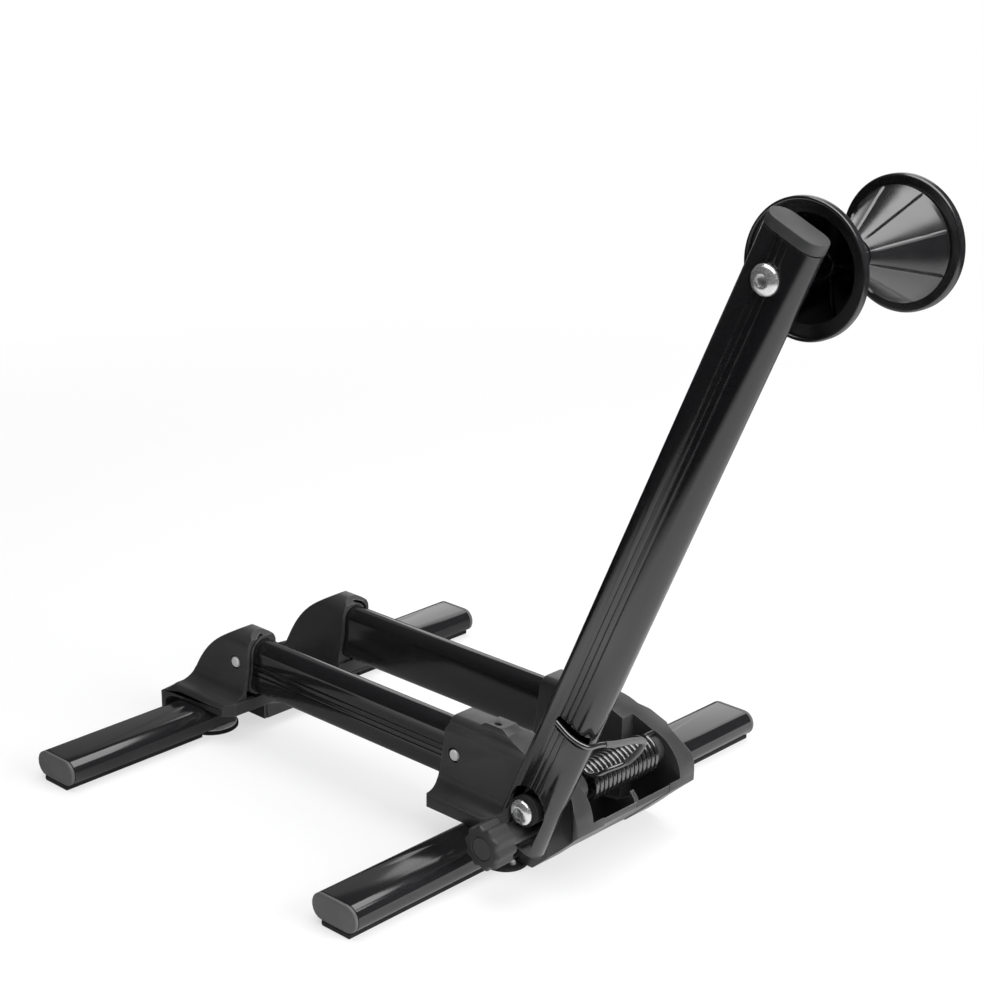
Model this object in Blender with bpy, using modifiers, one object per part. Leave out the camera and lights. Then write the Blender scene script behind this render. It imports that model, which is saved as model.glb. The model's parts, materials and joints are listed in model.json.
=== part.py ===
# Bike parking stand: a low base of two rails between moulded housings, four folding legs,
# and a sprung arm whose two cones press on the back of the tyre.
# Metres, +Z up, +Y towards the front of the stand, +X to its right. The origin is on the floor,
# midway between the rollers and the nose of the front housings, on the plane of the wheel.

import math

import bmesh
import bpy
from mathutils import Matrix, Vector

# Extruded bar shared by the rails, the legs and the arm
bar_width = 0.040
bar_thickness = 0.017
bar_wall = 0.0018
arm_width = 0.0365
groove_pitch = 0.0039
groove_width = 0.0011
groove_depth = 0.0007
arc_steps = 9

# Clearances
fit_gap = 0.0003
run_gap = 0.0005
overshoot = 0.001

# Rails
rail_x = 0.042
rail_bottom_z = 0.0325

# Shared sections of the housings
cheek_wall = 0.0050
inner_wall = 0.0025
front_top_wall = 0.0055
rear_top_wall = 0.0065
top_round = 0.0110
shoulder_z = 0.0715
shoulder_width = 0.0030
shoulder_rise = 0.0022
crown_round = 0.0050
front_skirt_x = 0.0715
rear_skirt_x = 0.0680
front_skirt_z = 0.0295
rear_skirt_z = 0.0290
front_flare_rise = 0.0085
rear_flare_rise = 0.0105
skirt_round = 0.002
housing_bottom_z = 0.0030
front_floor_z = 0.0080
rear_floor_z = 0.0035
seam_gap = 0.0003
socket_depth = 0.026
collar_offset = 0.0014
collar_groove = 0.0018
front_ring_depth = 0.0085
rear_ring_depth = 0.0040
floor_thickness = 0.0045
flange_thickness = 0.0022
flange_height = 0.0080
saddle_thickness = 0.0050
saddle_notch = 0.006

# Front housings
front_end_y = 0.2703
front_top_rear_y = 0.1915
front_foot_rear_y = 0.1965
front_edge_bend = (0.1935, 0.0520)
front_edge_step = 0.0015
front_top_front_y = 0.2050
front_brow_y = 0.2515
front_brow_z = 0.0300
front_brow_bulge = 0.0065
nose_round = 0.0070
nose_side_round = 0.0135
nose_set_back = 0.0045
nose_drop = 0.0026
front_floor_rear_y = 0.2010
front_saddle_z = 0.0190
corner_facet = (0.0070, 0.0060)
pocket_rise = 0.0005
pocket_depth = 0.0080
pocket_inner_x = 0.0410
pocket_bend_z = 0.0360

# Rear housings
rear_top_front_y = 0.0040
rear_foot_front_y = 0.0130
rear_top_bend_y = -0.0400
hump_front_y = -0.0130
hump_rear_y = -0.0380
hump_rise = 0.0032
hump_inner_x = 0.0370
hump_outer_x = 0.0495
hump_hole_radius = 0.0018
hump_hole_depth = 0.0040
rear_end_y = -0.1050
rear_top_z = 0.0745
rear_side_round = 0.0200
rear_corner_round = 0.0065
rear_heel_z = 0.0350
rear_heel_y = -0.0665
skirt_rear_y = -0.0340
spring_bay_front_y = -0.0620
spring_bay_x = 0.0410
rear_flange_z = 0.050
rear_flange_width = 0.0060
flange_coil_gap = 0.0030
rear_saddle_z = 0.030

# Legs
front_leg_y = 0.2335
rear_leg_y = -0.0335
leg_pivot_x = 0.0550
leg_reach_x = 0.1860
leg_end_reach = 0.0155
leg_bottom_z = 0.0035
leg_opening_margin = 0.0100
plug_flange = 0.0025
arm_plug_flange = 0.0065
plug_insert = 0.0140
plug_round = 0.0009
arm_plug_round = 0.0022
pad_width = 0.0240
pad_round = 0.0008
pin_radius = 0.0040
pin_head_radius = 0.0078
pin_head_height = 0.0008
pin_top_z = 0.0300
disc_radius = 0.0180
washer_radius = 0.0170
washer_thickness = 0.0006
foot_lift = 0.0006
foot_tail_x = 0.0565
foot_tail_y = -0.0455
foot_tail_radius = 0.0140
foot_pin_x = 0.0587
foot_pin_y = -0.0535
foot_pin_radius = 0.0018
foot_pin_height = 0.0024

# Cheek screws
front_screw_y = 0.2045
rear_screw_y = -0.0010
screw_radius = 0.0020
screw_head_radius = 0.0038
screw_head_height = 0.0022
screw_recess_radius = 0.0050
screw_recess_depth = 0.0018
screw_length = 0.0120

# Arm, its pivot and its lock
pivot_y = -0.0787
pivot_z = 0.0532
arm_lean = math.radians(24.11)
arm_reach = 0.3752
arm_top = 0.0229
arm_side_gap = 0.0038
lock_drop = 0.0185
arm_end_drop = 0.0238
shaft_radius = 0.0050
hub_radius = 0.0095
hub_flange_radius = 0.0125
shaft_end_x = 0.0500
bolt_head_radius = 0.0078
bolt_head_height = 0.0042
pivot_washer_radius = 0.0095
pivot_washer_thickness = 0.0020
bolt_shank_radius = 0.0028
bolt_shank_length = 0.0110
cutaway_half_width = 0.0135
cutaway_centre = 0.0030
blade_top = -0.0120
blade_tip = -0.0210
cutaway_rear_end = -0.0250
hook_slot_low = 0.0640
hook_slot_height = 0.0095
hook_slot_end = 0.0060
hook_slot_depth = 0.0060
lock_barrel_radius = 0.0065
lock_pin_radius = 0.0048
lock_barrel_length = 0.0276
knob_radius = 0.0134
knob_lobe = 0.0008
knob_lobes = 8
knob_thickness = 0.0160
knob_round = 0.0020
knob_cap_radius = 0.0072
knob_cap_thickness = 0.0016
knob_cap_recess = 0.0022

# Torsion spring
wire_radius = 0.0016
coil_radius = 0.0097
coil_pitch = 0.0040
coil_turns = 15
coil_extra_turn = math.radians(34)
points_per_turn = 9
hook_height = 0.0665
spring_anchor_length = 0.0060
spring_boss_radius = 0.0092
spring_boss_length = 0.0066
coil_end_gap = 0.0012

# Rollers
roller_half_length = 0.0460
roller_gap = 0.0006
waist_radius = 0.0090
face_radius = 0.0315
flange_radius = 0.0368
flange_width = 0.0052
flange_groove = 0.0016
flange_groove_radius = 0.0305
ridge_count = 10
ridge_height = 0.0012
ridge_half_angle = math.radians(2.6)
cone_wall = 0.0024
cone_hub_radius = 0.0070
cone_hub_end = 0.0300
cone_web = 0.0110
cone_webs = 3
cone_rib_thickness = 0.0018
roller_steps = 40
axle_radius = 0.0040
axle_head_radius = 0.0083
axle_head_height = 0.0046
axle_nut_radius = 0.0068
axle_nut_height = 0.0060
axle_end_spare = 0.0030
spacer_radius = 0.0068

# Worked out from the sizes above
rail_z = rail_bottom_z + bar_width / 2
rail_top_z = rail_bottom_z + bar_width
cheek_x = rail_x + bar_thickness / 2 + cheek_wall
bay_x = rail_x - bar_thickness / 2 - inner_wall
front_top_z = rail_top_z + front_top_wall
rear_crown_z = rail_top_z + rear_top_wall
housing_high_z = rear_crown_z + 2 * hump_rise
leg_top_z = leg_bottom_z + bar_thickness
leg_mid_z = leg_bottom_z + bar_thickness / 2
chamber_top_z = leg_top_z + run_gap
chamber_inner_x = leg_pivot_x - bar_width / 2 - run_gap
front_socket_y = front_top_rear_y + socket_depth
rear_socket_y = rear_top_front_y - socket_depth
arm_inner_x = cheek_x + arm_side_gap
arm_mid_x = arm_inner_x + bar_thickness / 2
arm_outer_x = arm_inner_x + bar_thickness
coil_right_x = spring_bay_x - spring_boss_length - fit_gap - wire_radius
coil_left_x = coil_right_x - coil_pitch * (coil_turns + coil_extra_turn / (2 * math.pi))
knob_back_x = arm_inner_x + bar_wall + fit_gap + lock_barrel_length
overlap_depth = bar_wall + overshoot

sides = {"left": -1, "right": 1}

part_collection = None
cutter_collection = None
materials = {}


def clear_scene():
    for item in list(bpy.data.objects):
        bpy.data.objects.remove(item, do_unlink=True)


def add_collection(name):
    collection = bpy.data.collections.new(name)
    bpy.context.scene.collection.children.link(collection)
    return collection


def add_material(name, colour, roughness, metallic):
    material = bpy.data.materials.new(name)
    material.use_nodes = True
    shader = material.node_tree.nodes["Principled BSDF"]
    shader.inputs["Base Color"].default_value = (*colour, 1.0)
    shader.inputs["Roughness"].default_value = roughness
    shader.inputs["Metallic"].default_value = metallic
    materials[name] = material


def add_materials():
    add_material("anodised", (0.012, 0.012, 0.013), 0.28, 0.9)
    add_material("moulding", (0.018, 0.018, 0.019), 0.62, 0.0)
    add_material("plug", (0.060, 0.060, 0.062), 0.55, 0.0)
    add_material("rubber", (0.010, 0.010, 0.010), 0.85, 0.0)
    add_material("roller", (0.030, 0.030, 0.032), 0.50, 0.0)
    add_material("chrome", (0.75, 0.75, 0.76), 0.14, 1.0)
    add_material("spring_steel", (0.025, 0.025, 0.026), 0.35, 0.8)
    add_material("dark_steel", (0.040, 0.040, 0.042), 0.40, 0.9)


# Shapes

def arc(centre_u, centre_v, radius, start, end, steps=arc_steps):
    points = []
    for index in range(steps + 1):
        angle = math.radians(start + (end - start) * index / steps)
        points.append((centre_u + radius * math.cos(angle), centre_v + radius * math.sin(angle)))
    return points


def bulged(start, end, bulge, steps=arc_steps):
    points = []
    across = Vector((end[1] - start[1], start[0] - end[0])).normalized()
    for index in range(steps + 1):
        share = index / steps
        rise = bulge * math.sin(math.pi * share)
        points.append((start[0] + (end[0] - start[0]) * share + across.x * rise,
                       start[1] + (end[1] - start[1]) * share + across.y * rise))
    return points


def mesh_object(name, mesh, collection):
    item = bpy.data.objects.new(name, mesh)
    collection.objects.link(item)
    return item


def close_mesh(mesh):
    work = bmesh.new()
    work.from_mesh(mesh)
    bmesh.ops.remove_doubles(work, verts=work.verts, dist=0.000001)
    bmesh.ops.recalc_face_normals(work, faces=work.faces)
    work.to_mesh(mesh)
    work.free()


def baked(item, name, matrix):
    # The evaluated shape as a closed mesh, moved by the matrix, in place of the object
    graph = bpy.context.evaluated_depsgraph_get()
    mesh = bpy.data.meshes.new_from_object(item.evaluated_get(graph))
    bpy.data.objects.remove(item, do_unlink=True)
    mesh.name = name
    mesh.transform(matrix)
    close_mesh(mesh)
    return mesh_object(name, mesh, part_collection)


def plane_matrix(plane, middle):
    if plane == "YZ":
        turn = Matrix(((0, 0, 1), (1, 0, 0), (0, 1, 0)))
        offset = Vector((middle, 0, 0))
    elif plane == "XZ":
        turn = Matrix(((1, 0, 0), (0, 0, -1), (0, 1, 0)))
        offset = Vector((0, middle, 0))
    else:
        turn = Matrix.Identity(3)
        offset = Vector((0, 0, middle))
    return Matrix.Translation(offset) @ turn.to_4x4()


def prism(name, plane, loops, low, high):
    # Flat outlines in one plane, filled and carried along the third axis from low to high
    curve = bpy.data.curves.new(name, "CURVE")
    curve.dimensions = "2D"
    curve.fill_mode = "BOTH"
    curve.extrude = abs(high - low) / 2
    for loop in loops:
        spline = curve.splines.new("POLY")
        spline.points.add(len(loop) - 1)
        spline.use_cyclic_u = True
        for point, place in zip(spline.points, loop):
            point.co = (place[0], place[1], 0, 1)
    item = bpy.data.objects.new(name, curve)
    part_collection.objects.link(item)
    bpy.context.view_layer.update()
    return baked(item, name, plane_matrix(plane, (low + high) / 2))


def turned(name, profile, matrix, steps=24, closed=False):
    # A profile of (radius, height) pairs, from the top down its outer side, turned about its axis
    mesh = bpy.data.meshes.new(name)
    vertices = [(radius, 0, height) for radius, height in profile]
    edges = [(index, index + 1) for index in range(len(profile) - 1)]
    if closed:
        edges.append((len(profile) - 1, 0))
    mesh.from_pydata(vertices, edges, [])
    item = mesh_object(name, mesh, part_collection)
    screw = item.modifiers.new("turn", "SCREW")
    screw.axis = "Z"
    screw.steps = steps
    screw.render_steps = steps
    screw.use_merge_vertices = True
    screw.merge_threshold = 0.000001
    bpy.context.view_layer.update()
    return baked(item, name, matrix)


def rod(name, radius, low, high, matrix, steps=20):
    return turned(name, [(0, high), (radius, high), (radius, low), (0, low)], matrix, steps)


def along_x(y=0.0, z=0.0):
    # Turns a shape made about Z so that its height runs along +X
    return Matrix.Translation(Vector((0, y, z))) @ Matrix.Rotation(math.pi / 2, 4, "Y")


def outwards(side, y, z):
    # Turns a shape made about Z so that its height runs away from the middle plane
    return Matrix.Translation(Vector((0, y, z))) @ Matrix.Rotation(side * math.pi / 2, 4, "Y")


def along_z(x=0.0, y=0.0):
    return Matrix.Translation(Vector((x, y, 0)))


def finish(item, material, parent=None, smooth=True):
    item.data.materials.clear()
    item.data.materials.append(materials[material])
    if parent is not None:
        item.parent = parent
        for modifier in item.modifiers:
            if modifier.type == "BOOLEAN":
                modifier.object.parent = parent
    if smooth:
        item.data.shade_smooth()
        item.data.set_sharp_from_angle(angle=math.radians(32))
    return item


def combine(target, other, operation, solver="EXACT"):
    part_collection.objects.unlink(other)
    cutter_collection.objects.link(other)
    other.hide_render = True
    other.display_type = "WIRE"
    other.name = target.name + "_" + other.name
    boolean = target.modifiers.new(other.name, "BOOLEAN")
    boolean.operation = operation
    boolean.solver = solver
    boolean.object = other


def cut(target, other):
    combine(target, other, "DIFFERENCE")


def join(target, other):
    combine(target, other, "UNION")


def keep_inside(target, other):
    combine(target, other, "INTERSECT")


def round_rims(item, width, segments=2):
    bevel = item.modifiers.new("rims", "BEVEL")
    bevel.limit_method = "ANGLE"
    bevel.angle_limit = math.radians(60)
    bevel.width = width
    bevel.segments = segments


def add_empty(name, location, parent=None, lean=0.0):
    empty = bpy.data.objects.new(name, None)
    part_collection.objects.link(empty)
    empty.location = location
    empty.rotation_euler = (lean, 0, 0)
    empty.empty_display_size = 0.02
    empty.parent = parent
    return empty


# The extruded bar

def stadium(width, thickness, upright, centre=(0.0, 0.0), steps=arc_steps):
    # A flat-sided oval, its width upright or lying down
    radius = thickness / 2
    reach = width / 2 - radius
    first = arc(0, reach, radius, 0, 180, steps)
    second = arc(0, -reach, radius, 180, 360, steps)
    points = first + second
    if not upright:
        points = [(v, -u) for u, v in points]
    return [(u + centre[0], v + centre[1]) for u, v in points]


def grooved_bar(centre, face_sign, width=bar_width):
    # The upright bar outline with three fine grooves in the flat on one side
    radius = bar_thickness / 2
    reach = width / 2 - radius
    points = arc(0, reach, radius, 0, 180)
    for row in (1, 0, -1):
        high = row * groove_pitch + groove_width / 2
        low = row * groove_pitch - groove_width / 2
        points += [(-radius, high), (-radius + groove_depth, high)]
        points += [(-radius + groove_depth, low), (-radius, low)]
    points += arc(0, -reach, radius, 180, 360)
    return [(centre[0] - face_sign * u, centre[1] + v) for u, v in points]


def bar_bore(centre, upright, width=bar_width):
    return stadium(width - 2 * bar_wall, bar_thickness - 2 * bar_wall, upright, centre, 7)


def add_rail(side_name):
    side = sides[side_name]
    centre = (side * rail_x, rail_z)
    loops = [grooved_bar(centre, side), bar_bore(centre, True)]
    rail = prism("rail_" + side_name, "XZ", loops, rear_socket_y + fit_gap, front_socket_y - fit_gap)
    low = rail_x + bar_thickness / 2 - bar_wall - overshoot
    high = rail_x + bar_thickness / 2 + overshoot
    for number, y in enumerate((front_screw_y, rear_screw_y)):
        near, far = span(side, low, high)
        cut(rail, rod("screw_hole_%d" % number, screw_radius + fit_gap, near, far, along_x(y, rail_z)))
    finish(rail, "anodised")


# Housings

def flare(skirt_x, skirt_z, rise):
    # The concave flare from the cheek out to the rounded top edge of the skirt
    edge_x = skirt_x - skirt_round
    run = edge_x - cheek_x
    points = [(edge_x + u * run, skirt_z + rise + v * rise) for u, v in arc(0, 0, 1, 180, 270, 7)]
    return points + arc(edge_x, skirt_z - skirt_round, skirt_round, 90, 0, 3)


def front_section(side):
    # The cheek seen from the end: round over the rail, flat, then flared out to the skirt
    points = [(bay_x, housing_bottom_z)]
    points += arc(bay_x + top_round, front_top_z - top_round, top_round, 180, 90, 7)
    points += arc(cheek_x - top_round, front_top_z - top_round, top_round, 90, 0, 7)
    points += flare(front_skirt_x, front_skirt_z, front_flare_rise)
    points += [(front_skirt_x, housing_bottom_z)]
    return [(side * x, z) for x, z in points]


def rear_section(side):
    # As the front one, with a narrow shoulder along the top of the cheek
    ledge_x = cheek_x - shoulder_width
    ledge_z = shoulder_z + shoulder_rise
    points = [(bay_x, housing_bottom_z)]
    points += arc(bay_x + crown_round, rear_crown_z - crown_round, crown_round, 180, 90, 4)
    points += arc(ledge_x - crown_round, rear_crown_z - crown_round, crown_round, 90, 10, 4)
    points += [(ledge_x, ledge_z), (cheek_x - skirt_round / 4, shoulder_z + skirt_round / 4)]
    points += [(cheek_x, shoulder_z)]
    points += flare(rear_skirt_x, rear_skirt_z, rear_flare_rise)
    points += [(rear_skirt_x, housing_bottom_z)]
    return [(side * x, z) for x, z in points]


def front_side_outline():
    radius = nose_side_round
    nose_z = front_skirt_z - nose_drop - radius
    points = [(front_foot_rear_y, housing_bottom_z), (front_end_y - nose_set_back, housing_bottom_z)]
    points += arc(front_end_y - radius, nose_z, radius, -30, 84, 9)
    points += bulged((front_brow_y, front_brow_z), (front_top_front_y, front_top_z), front_brow_bulge, 9)
    points += [(front_top_rear_y + top_round / 2, front_top_z)]
    points += [(front_top_rear_y, front_top_z - top_round / 3), front_edge_bend]
    points += [(front_foot_rear_y + front_edge_step, front_skirt_z + fit_gap)]
    points += [(front_foot_rear_y, front_skirt_z - fit_gap)]
    return points


def rear_side_outline():
    radius = rear_side_round
    points = [(rear_heel_y, housing_bottom_z), (rear_foot_front_y, housing_bottom_z)]
    points += [(rear_foot_front_y, rear_skirt_z + skirt_round)]
    points += [(rear_top_front_y, shoulder_z), (rear_top_front_y - top_round / 5, rear_crown_z)]
    points += [(rear_top_bend_y, rear_crown_z)]
    points += arc(rear_end_y + radius, rear_top_z - radius, radius, 88, 180, 8)
    points += [(rear_end_y, rear_heel_z)]
    return points


def inner_relief():
    # The inner wall ends above the floor plate, and above the lip at its rear
    low = housing_bottom_z - overshoot
    lip = chamber_top_z + run_gap
    rear = front_top_rear_y - overshoot
    step = front_floor_rear_y + overshoot
    front = front_end_y + overshoot
    floor = front_floor_z - fit_gap
    return [(rear, low), (front, low), (front, floor), (step, floor), (step, lip), (rear, lip)]


def front_plan(side):
    facet_x = front_skirt_x - corner_facet[0]
    points = [(bay_x - overshoot, front_top_rear_y - overshoot), (facet_x, front_top_rear_y - overshoot)]
    points += [(facet_x, front_foot_rear_y - fit_gap), (front_skirt_x, front_foot_rear_y + corner_facet[1])]
    points += arc(front_skirt_x - nose_round, front_end_y - nose_round, nose_round, 0, 90, 7)
    points += [(bay_x - overshoot, front_end_y)]
    return [(side * x, y) for x, y in points]


def rear_plan(side):
    radius = rear_corner_round
    points = [(bay_x - overshoot, rear_foot_front_y + overshoot)]
    points += [(rear_skirt_x - skirt_round * 3, rear_foot_front_y + overshoot)]
    points += [(rear_skirt_x, rear_foot_front_y - skirt_round * 3), (rear_skirt_x, skirt_rear_y)]
    points += [(cheek_x, skirt_rear_y - (rear_skirt_x - cheek_x))]
    points += arc(cheek_x - radius, rear_end_y + radius, radius, 0, -90, 6)
    points += [(bay_x - overshoot, rear_end_y)]
    return [(side * x, y) for x, y in points]


def span(side, near, far):
    # Low and high ends of a stretch along X on one side, from near to far off the middle plane
    return sorted((side * near, side * far))


def add_leg_chamber(housing, side, leg_y, open_y, closed_y):
    # The room that the leg swings in, open outwards and towards the middle of the stand
    corner = (chamber_top_z - leg_bottom_z) / 3
    sign = 1 if closed_y > open_y else -1
    low = housing_bottom_z - overshoot
    points = [(open_y, low), (closed_y, low)]
    for u, v in arc(0, 0, corner, 0, 90, 4):
        points.append((closed_y - sign * (corner - u), chamber_top_z - corner + v))
    points.append((open_y, chamber_top_z))
    low_x, high_x = span(side, chamber_inner_x, front_skirt_x + overshoot)
    cut(housing, prism("leg_chamber", "YZ", [points], low_x, high_x))
    bore = rod("pin_bore", pin_radius + fit_gap, leg_mid_z, pin_top_z + fit_gap,
               along_z(side * leg_pivot_x, leg_y))
    cut(housing, bore)


def add_rail_socket(housing, side, mouth_y, end_y, ring_depth):
    centre = (side * rail_x, rail_z)
    width = bar_width + 2 * fit_gap
    thickness = bar_thickness + 2 * fit_gap
    direction = 1 if end_y > mouth_y else -1
    low, high = sorted((mouth_y - direction * top_round * 2, end_y))
    cut(housing, prism("rail_socket", "XZ", [stadium(width, thickness, True, centre)], low, high))
    ring = half_oval(fit_gap + collar_offset + collar_groove) + half_oval(fit_gap + collar_offset)[::-1]
    outline = [(side * (rail_x + u), rail_z + v) for u, v in ring]
    low, high = sorted((mouth_y - direction * top_round * 2, mouth_y + direction * ring_depth))
    cut(housing, prism("collar_groove", "XZ", [outline], low, high))


def half_oval(grow):
    # The outer half of the rail's outline, grown, from its top round to its underside
    radius = bar_thickness / 2 + grow
    reach = (bar_width - bar_thickness) / 2
    return arc(0, reach, radius, 90, 0) + arc(0, -reach, radius, 0, -90)


def add_mouth_pocket(housing, side):
    # Under the rail the front housing is hollow behind its cheek, open to the rear
    collar = bar_thickness / 2 + 2 * fit_gap + collar_offset
    outer_x = rail_x + collar - fit_gap + collar_groove
    low_z = front_skirt_z + pocket_rise
    reach = (bar_width - bar_thickness) / 2
    points = [(outer_x - collar_groove / 2, rail_z), (outer_x, pocket_bend_z)]
    points += [(outer_x, low_z), (pocket_inner_x, low_z), (pocket_inner_x, rail_z - reach - collar)]
    points += arc(rail_x, rail_z - reach, collar, -90, 0)
    outline = [(side * x, z) for x, z in points]
    low = front_top_rear_y - overshoot
    cut(housing, prism("mouth_pocket", "XZ", [outline], low, front_foot_rear_y + pocket_depth))


def add_screw_seat(housing, side, y):
    bore = screw_radius + fit_gap
    floor = cheek_x - screw_recess_depth
    profile = [(0, cheek_x + overshoot), (screw_recess_radius, cheek_x + overshoot)]
    profile += [(screw_recess_radius, floor), (bore, floor), (bore, rail_x), (0, rail_x)]
    cut(housing, turned("screw_seat", profile, outwards(side, y, rail_z), 20))


def add_floor(housing, side, outline, lip, floor_mid, saddle_y, saddle_z):
    # Half of the floor under the tyre, its flange on the middle plane and its saddle wall
    near = seam_gap / 2 + fit_gap
    low, high = span(side, near, bay_x + inner_wall / 2)
    join(housing, prism("floor", "YZ", [outline], low, high))
    low, high = span(side, seam_gap / 2, seam_gap / 2 + flange_thickness)
    join(housing, prism("flange", "YZ", [lip], low, high))
    near += fit_gap
    points = [(near, floor_mid), (near, saddle_z - saddle_notch)]
    points += [(bay_x * 0.35, saddle_z - saddle_notch), (bay_x + inner_wall / 2, saddle_z)]
    points += [(bay_x + inner_wall / 2, floor_mid)]
    outline = [(side * x, z) for x, z in points]
    join(housing, prism("saddle", "XZ", [outline], saddle_y, saddle_y + saddle_thickness))


def add_front_housing(side_name):
    side = sides[side_name]
    reach = overshoot * 4
    housing = prism("housing_front_" + side_name, "XZ", [front_section(side)],
                    front_top_rear_y - reach, front_end_y + reach)
    low, high = span(side, 0, front_skirt_x + reach)
    keep_inside(housing, prism("side_outline", "YZ", [front_side_outline()], low, high))
    keep_inside(housing, prism("plan_outline", "XY", [front_plan(side)], 0, housing_high_z))
    low, high = span(side, bay_x - overshoot, chamber_inner_x + overshoot)
    cut(housing, prism("inner_relief", "YZ", [inner_relief()], low, high))
    closed_y = front_leg_y + bar_width / 2 + leg_opening_margin
    add_leg_chamber(housing, side, front_leg_y, front_top_rear_y - reach, closed_y)
    add_rail_socket(housing, side, front_top_rear_y, front_socket_y, front_ring_depth)
    add_mouth_pocket(housing, side)
    add_screw_seat(housing, side, front_screw_y)
    top = front_floor_z + floor_thickness
    front = front_end_y - nose_round
    rear = front_floor_rear_y
    floor = [(rear, front_floor_z), (front, front_floor_z), (front, top), (rear, top)]
    middle = front_floor_z + floor_thickness / 2
    lip_rear = rear + saddle_thickness / 2
    lip_top = top + flange_height
    lip = [(lip_rear, middle), (front - overshoot, middle), (front - overshoot, top)]
    lip += [(front - flange_height, lip_top), (lip_rear + flange_height, front_saddle_z)]
    lip += [(lip_rear, front_saddle_z)]
    add_floor(housing, side, floor, lip, middle, rear, front_saddle_z)
    finish(housing, "moulding")


def heel_line(lift):
    # The underside of the rear housing from its front, raised by lift, up the heel to its back edge
    rise = rear_heel_z - housing_bottom_z
    run = rear_heel_y - rear_end_y
    shift = lift * (math.hypot(rise, run) - run) / rise
    back = rear_end_y + rear_floor_z - housing_bottom_z
    back_z = housing_bottom_z + lift + rise * (rear_heel_y + shift - back) / run
    front = rear_foot_front_y - top_round
    return [(front, housing_bottom_z + lift), (rear_heel_y + shift, housing_bottom_z + lift), (back, back_z)]


def add_hump(housing, side):
    # A low hump on the crown over the end of the rail, with a blind hole in it
    low = rear_crown_z - crown_round
    high = rear_crown_z + hump_rise
    slope = hump_rise * 1.5
    outline = [(hump_front_y, low), (hump_front_y, rear_crown_z), (hump_front_y - slope, high)]
    outline += [(hump_rear_y + slope, high), (hump_rear_y, rear_crown_z), (hump_rear_y, low)]
    near, far = span(side, hump_inner_x, hump_outer_x)
    join(housing, prism("hump", "YZ", [outline], near, far))
    x = side * (hump_outer_x - hump_hole_radius * 1.8)
    y = (hump_front_y + hump_rear_y) / 2
    low = high - hump_hole_depth
    cut(housing, rod("hump_hole", hump_hole_radius, low, high + overshoot, along_z(x, y), 12))


def add_spring_bay(housing, side):
    # The cheek is thinner beside the coil, above the sloping heel of the floor
    _, heel, back = heel_line(floor_thickness + 2 * (rear_floor_z - housing_bottom_z))
    high_z = housing_high_z
    points = [(spring_bay_front_y, heel[1]), (spring_bay_front_y, high_z), (rear_end_y - overshoot, high_z)]
    points += [(rear_end_y - overshoot, back[1]), back, heel]
    low, high = span(side, bay_x - overshoot, spring_bay_x)
    cut(housing, prism("spring_bay", "YZ", [points], low, high))


def add_spring_boss(housing, side):
    # The coil rests against a round boss on each cheek
    if side > 0:
        end = spring_bay_x - spring_boss_length
    else:
        end = -coil_left_x + wire_radius + coil_end_gap
    low, high = span(side, end, spring_bay_x + overshoot)
    join(housing, rod("spring_boss", spring_boss_radius, low, high, along_x(pivot_y, pivot_z), 28))


def add_rear_housing(side_name):
    side = sides[side_name]
    reach = overshoot * 4
    housing = prism("housing_rear_" + side_name, "XZ", [rear_section(side)],
                    rear_end_y - reach, rear_foot_front_y + reach)
    low, high = span(side, 0, rear_skirt_x + reach)
    keep_inside(housing, prism("side_outline", "YZ", [rear_side_outline()], low, high))
    keep_inside(housing, prism("plan_outline", "XY", [rear_plan(side)], 0, housing_high_z))
    add_hump(housing, side)
    closed_y = rear_leg_y - bar_width / 2 - fit_gap * 4
    add_leg_chamber(housing, side, rear_leg_y, rear_foot_front_y + reach, closed_y)
    add_rail_socket(housing, side, rear_top_front_y, rear_socket_y, rear_ring_depth)
    add_screw_seat(housing, side, rear_screw_y)
    lift = rear_floor_z - housing_bottom_z
    under = heel_line(lift)
    upper = heel_line(lift + floor_thickness)
    front, heel, back = heel_line(lift + floor_thickness / 2)
    under_coil_z = pivot_z - coil_radius - wire_radius - flange_coil_gap
    lip = [front, heel, back, (back[0], rear_flange_z), (back[0] + rear_flange_width, rear_flange_z)]
    lip += [(back[0] + rear_flange_width * 1.4, under_coil_z), (rear_heel_y, under_coil_z)]
    lip += [(spring_bay_front_y, front[1] + flange_height * 2), (rear_leg_y, front[1] + flange_height)]
    saddle_y = rear_leg_y - saddle_thickness / 2
    add_floor(housing, side, under + upper[::-1], lip, front[1], saddle_y, rear_saddle_z)
    add_spring_bay(housing, side)
    add_spring_boss(housing, side)
    shaft_end = shaft_end_x if side > 0 else cheek_x + overshoot
    low, high = span(side, bay_x - spring_boss_length, shaft_end + fit_gap)
    cut(housing, rod("shaft_bore", shaft_radius + fit_gap, low, high, along_x(pivot_y, pivot_z)))
    if side > 0:
        low, high = span(side, coil_right_x, spring_bay_x + spring_anchor_length)
        cut(housing, rod("anchor_hole", wire_radius + fit_gap, low, high,
                         along_x(pivot_y, pivot_z + coil_radius), 12))
    finish(housing, "moulding")


def add_cheek_screw(side_name, end_name, y):
    side = sides[side_name]
    seat = cheek_x - screw_recess_depth + fit_gap
    length = screw_length + screw_head_height
    profile = [(0, 0), (screw_head_radius * 0.8, 0), (screw_head_radius, -screw_head_height * 0.4)]
    profile += [(screw_head_radius, -screw_head_height), (screw_radius, -screw_head_height)]
    profile += [(screw_radius, -length), (0, -length)]
    turn = outwards(side, y, rail_z) @ Matrix.Translation(Vector((0, 0, seat + screw_head_height)))
    screw = turned("cheek_screw_%s_%s" % (end_name, side_name), profile, turn, 16)
    finish(screw, "chrome")


# Legs

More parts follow.
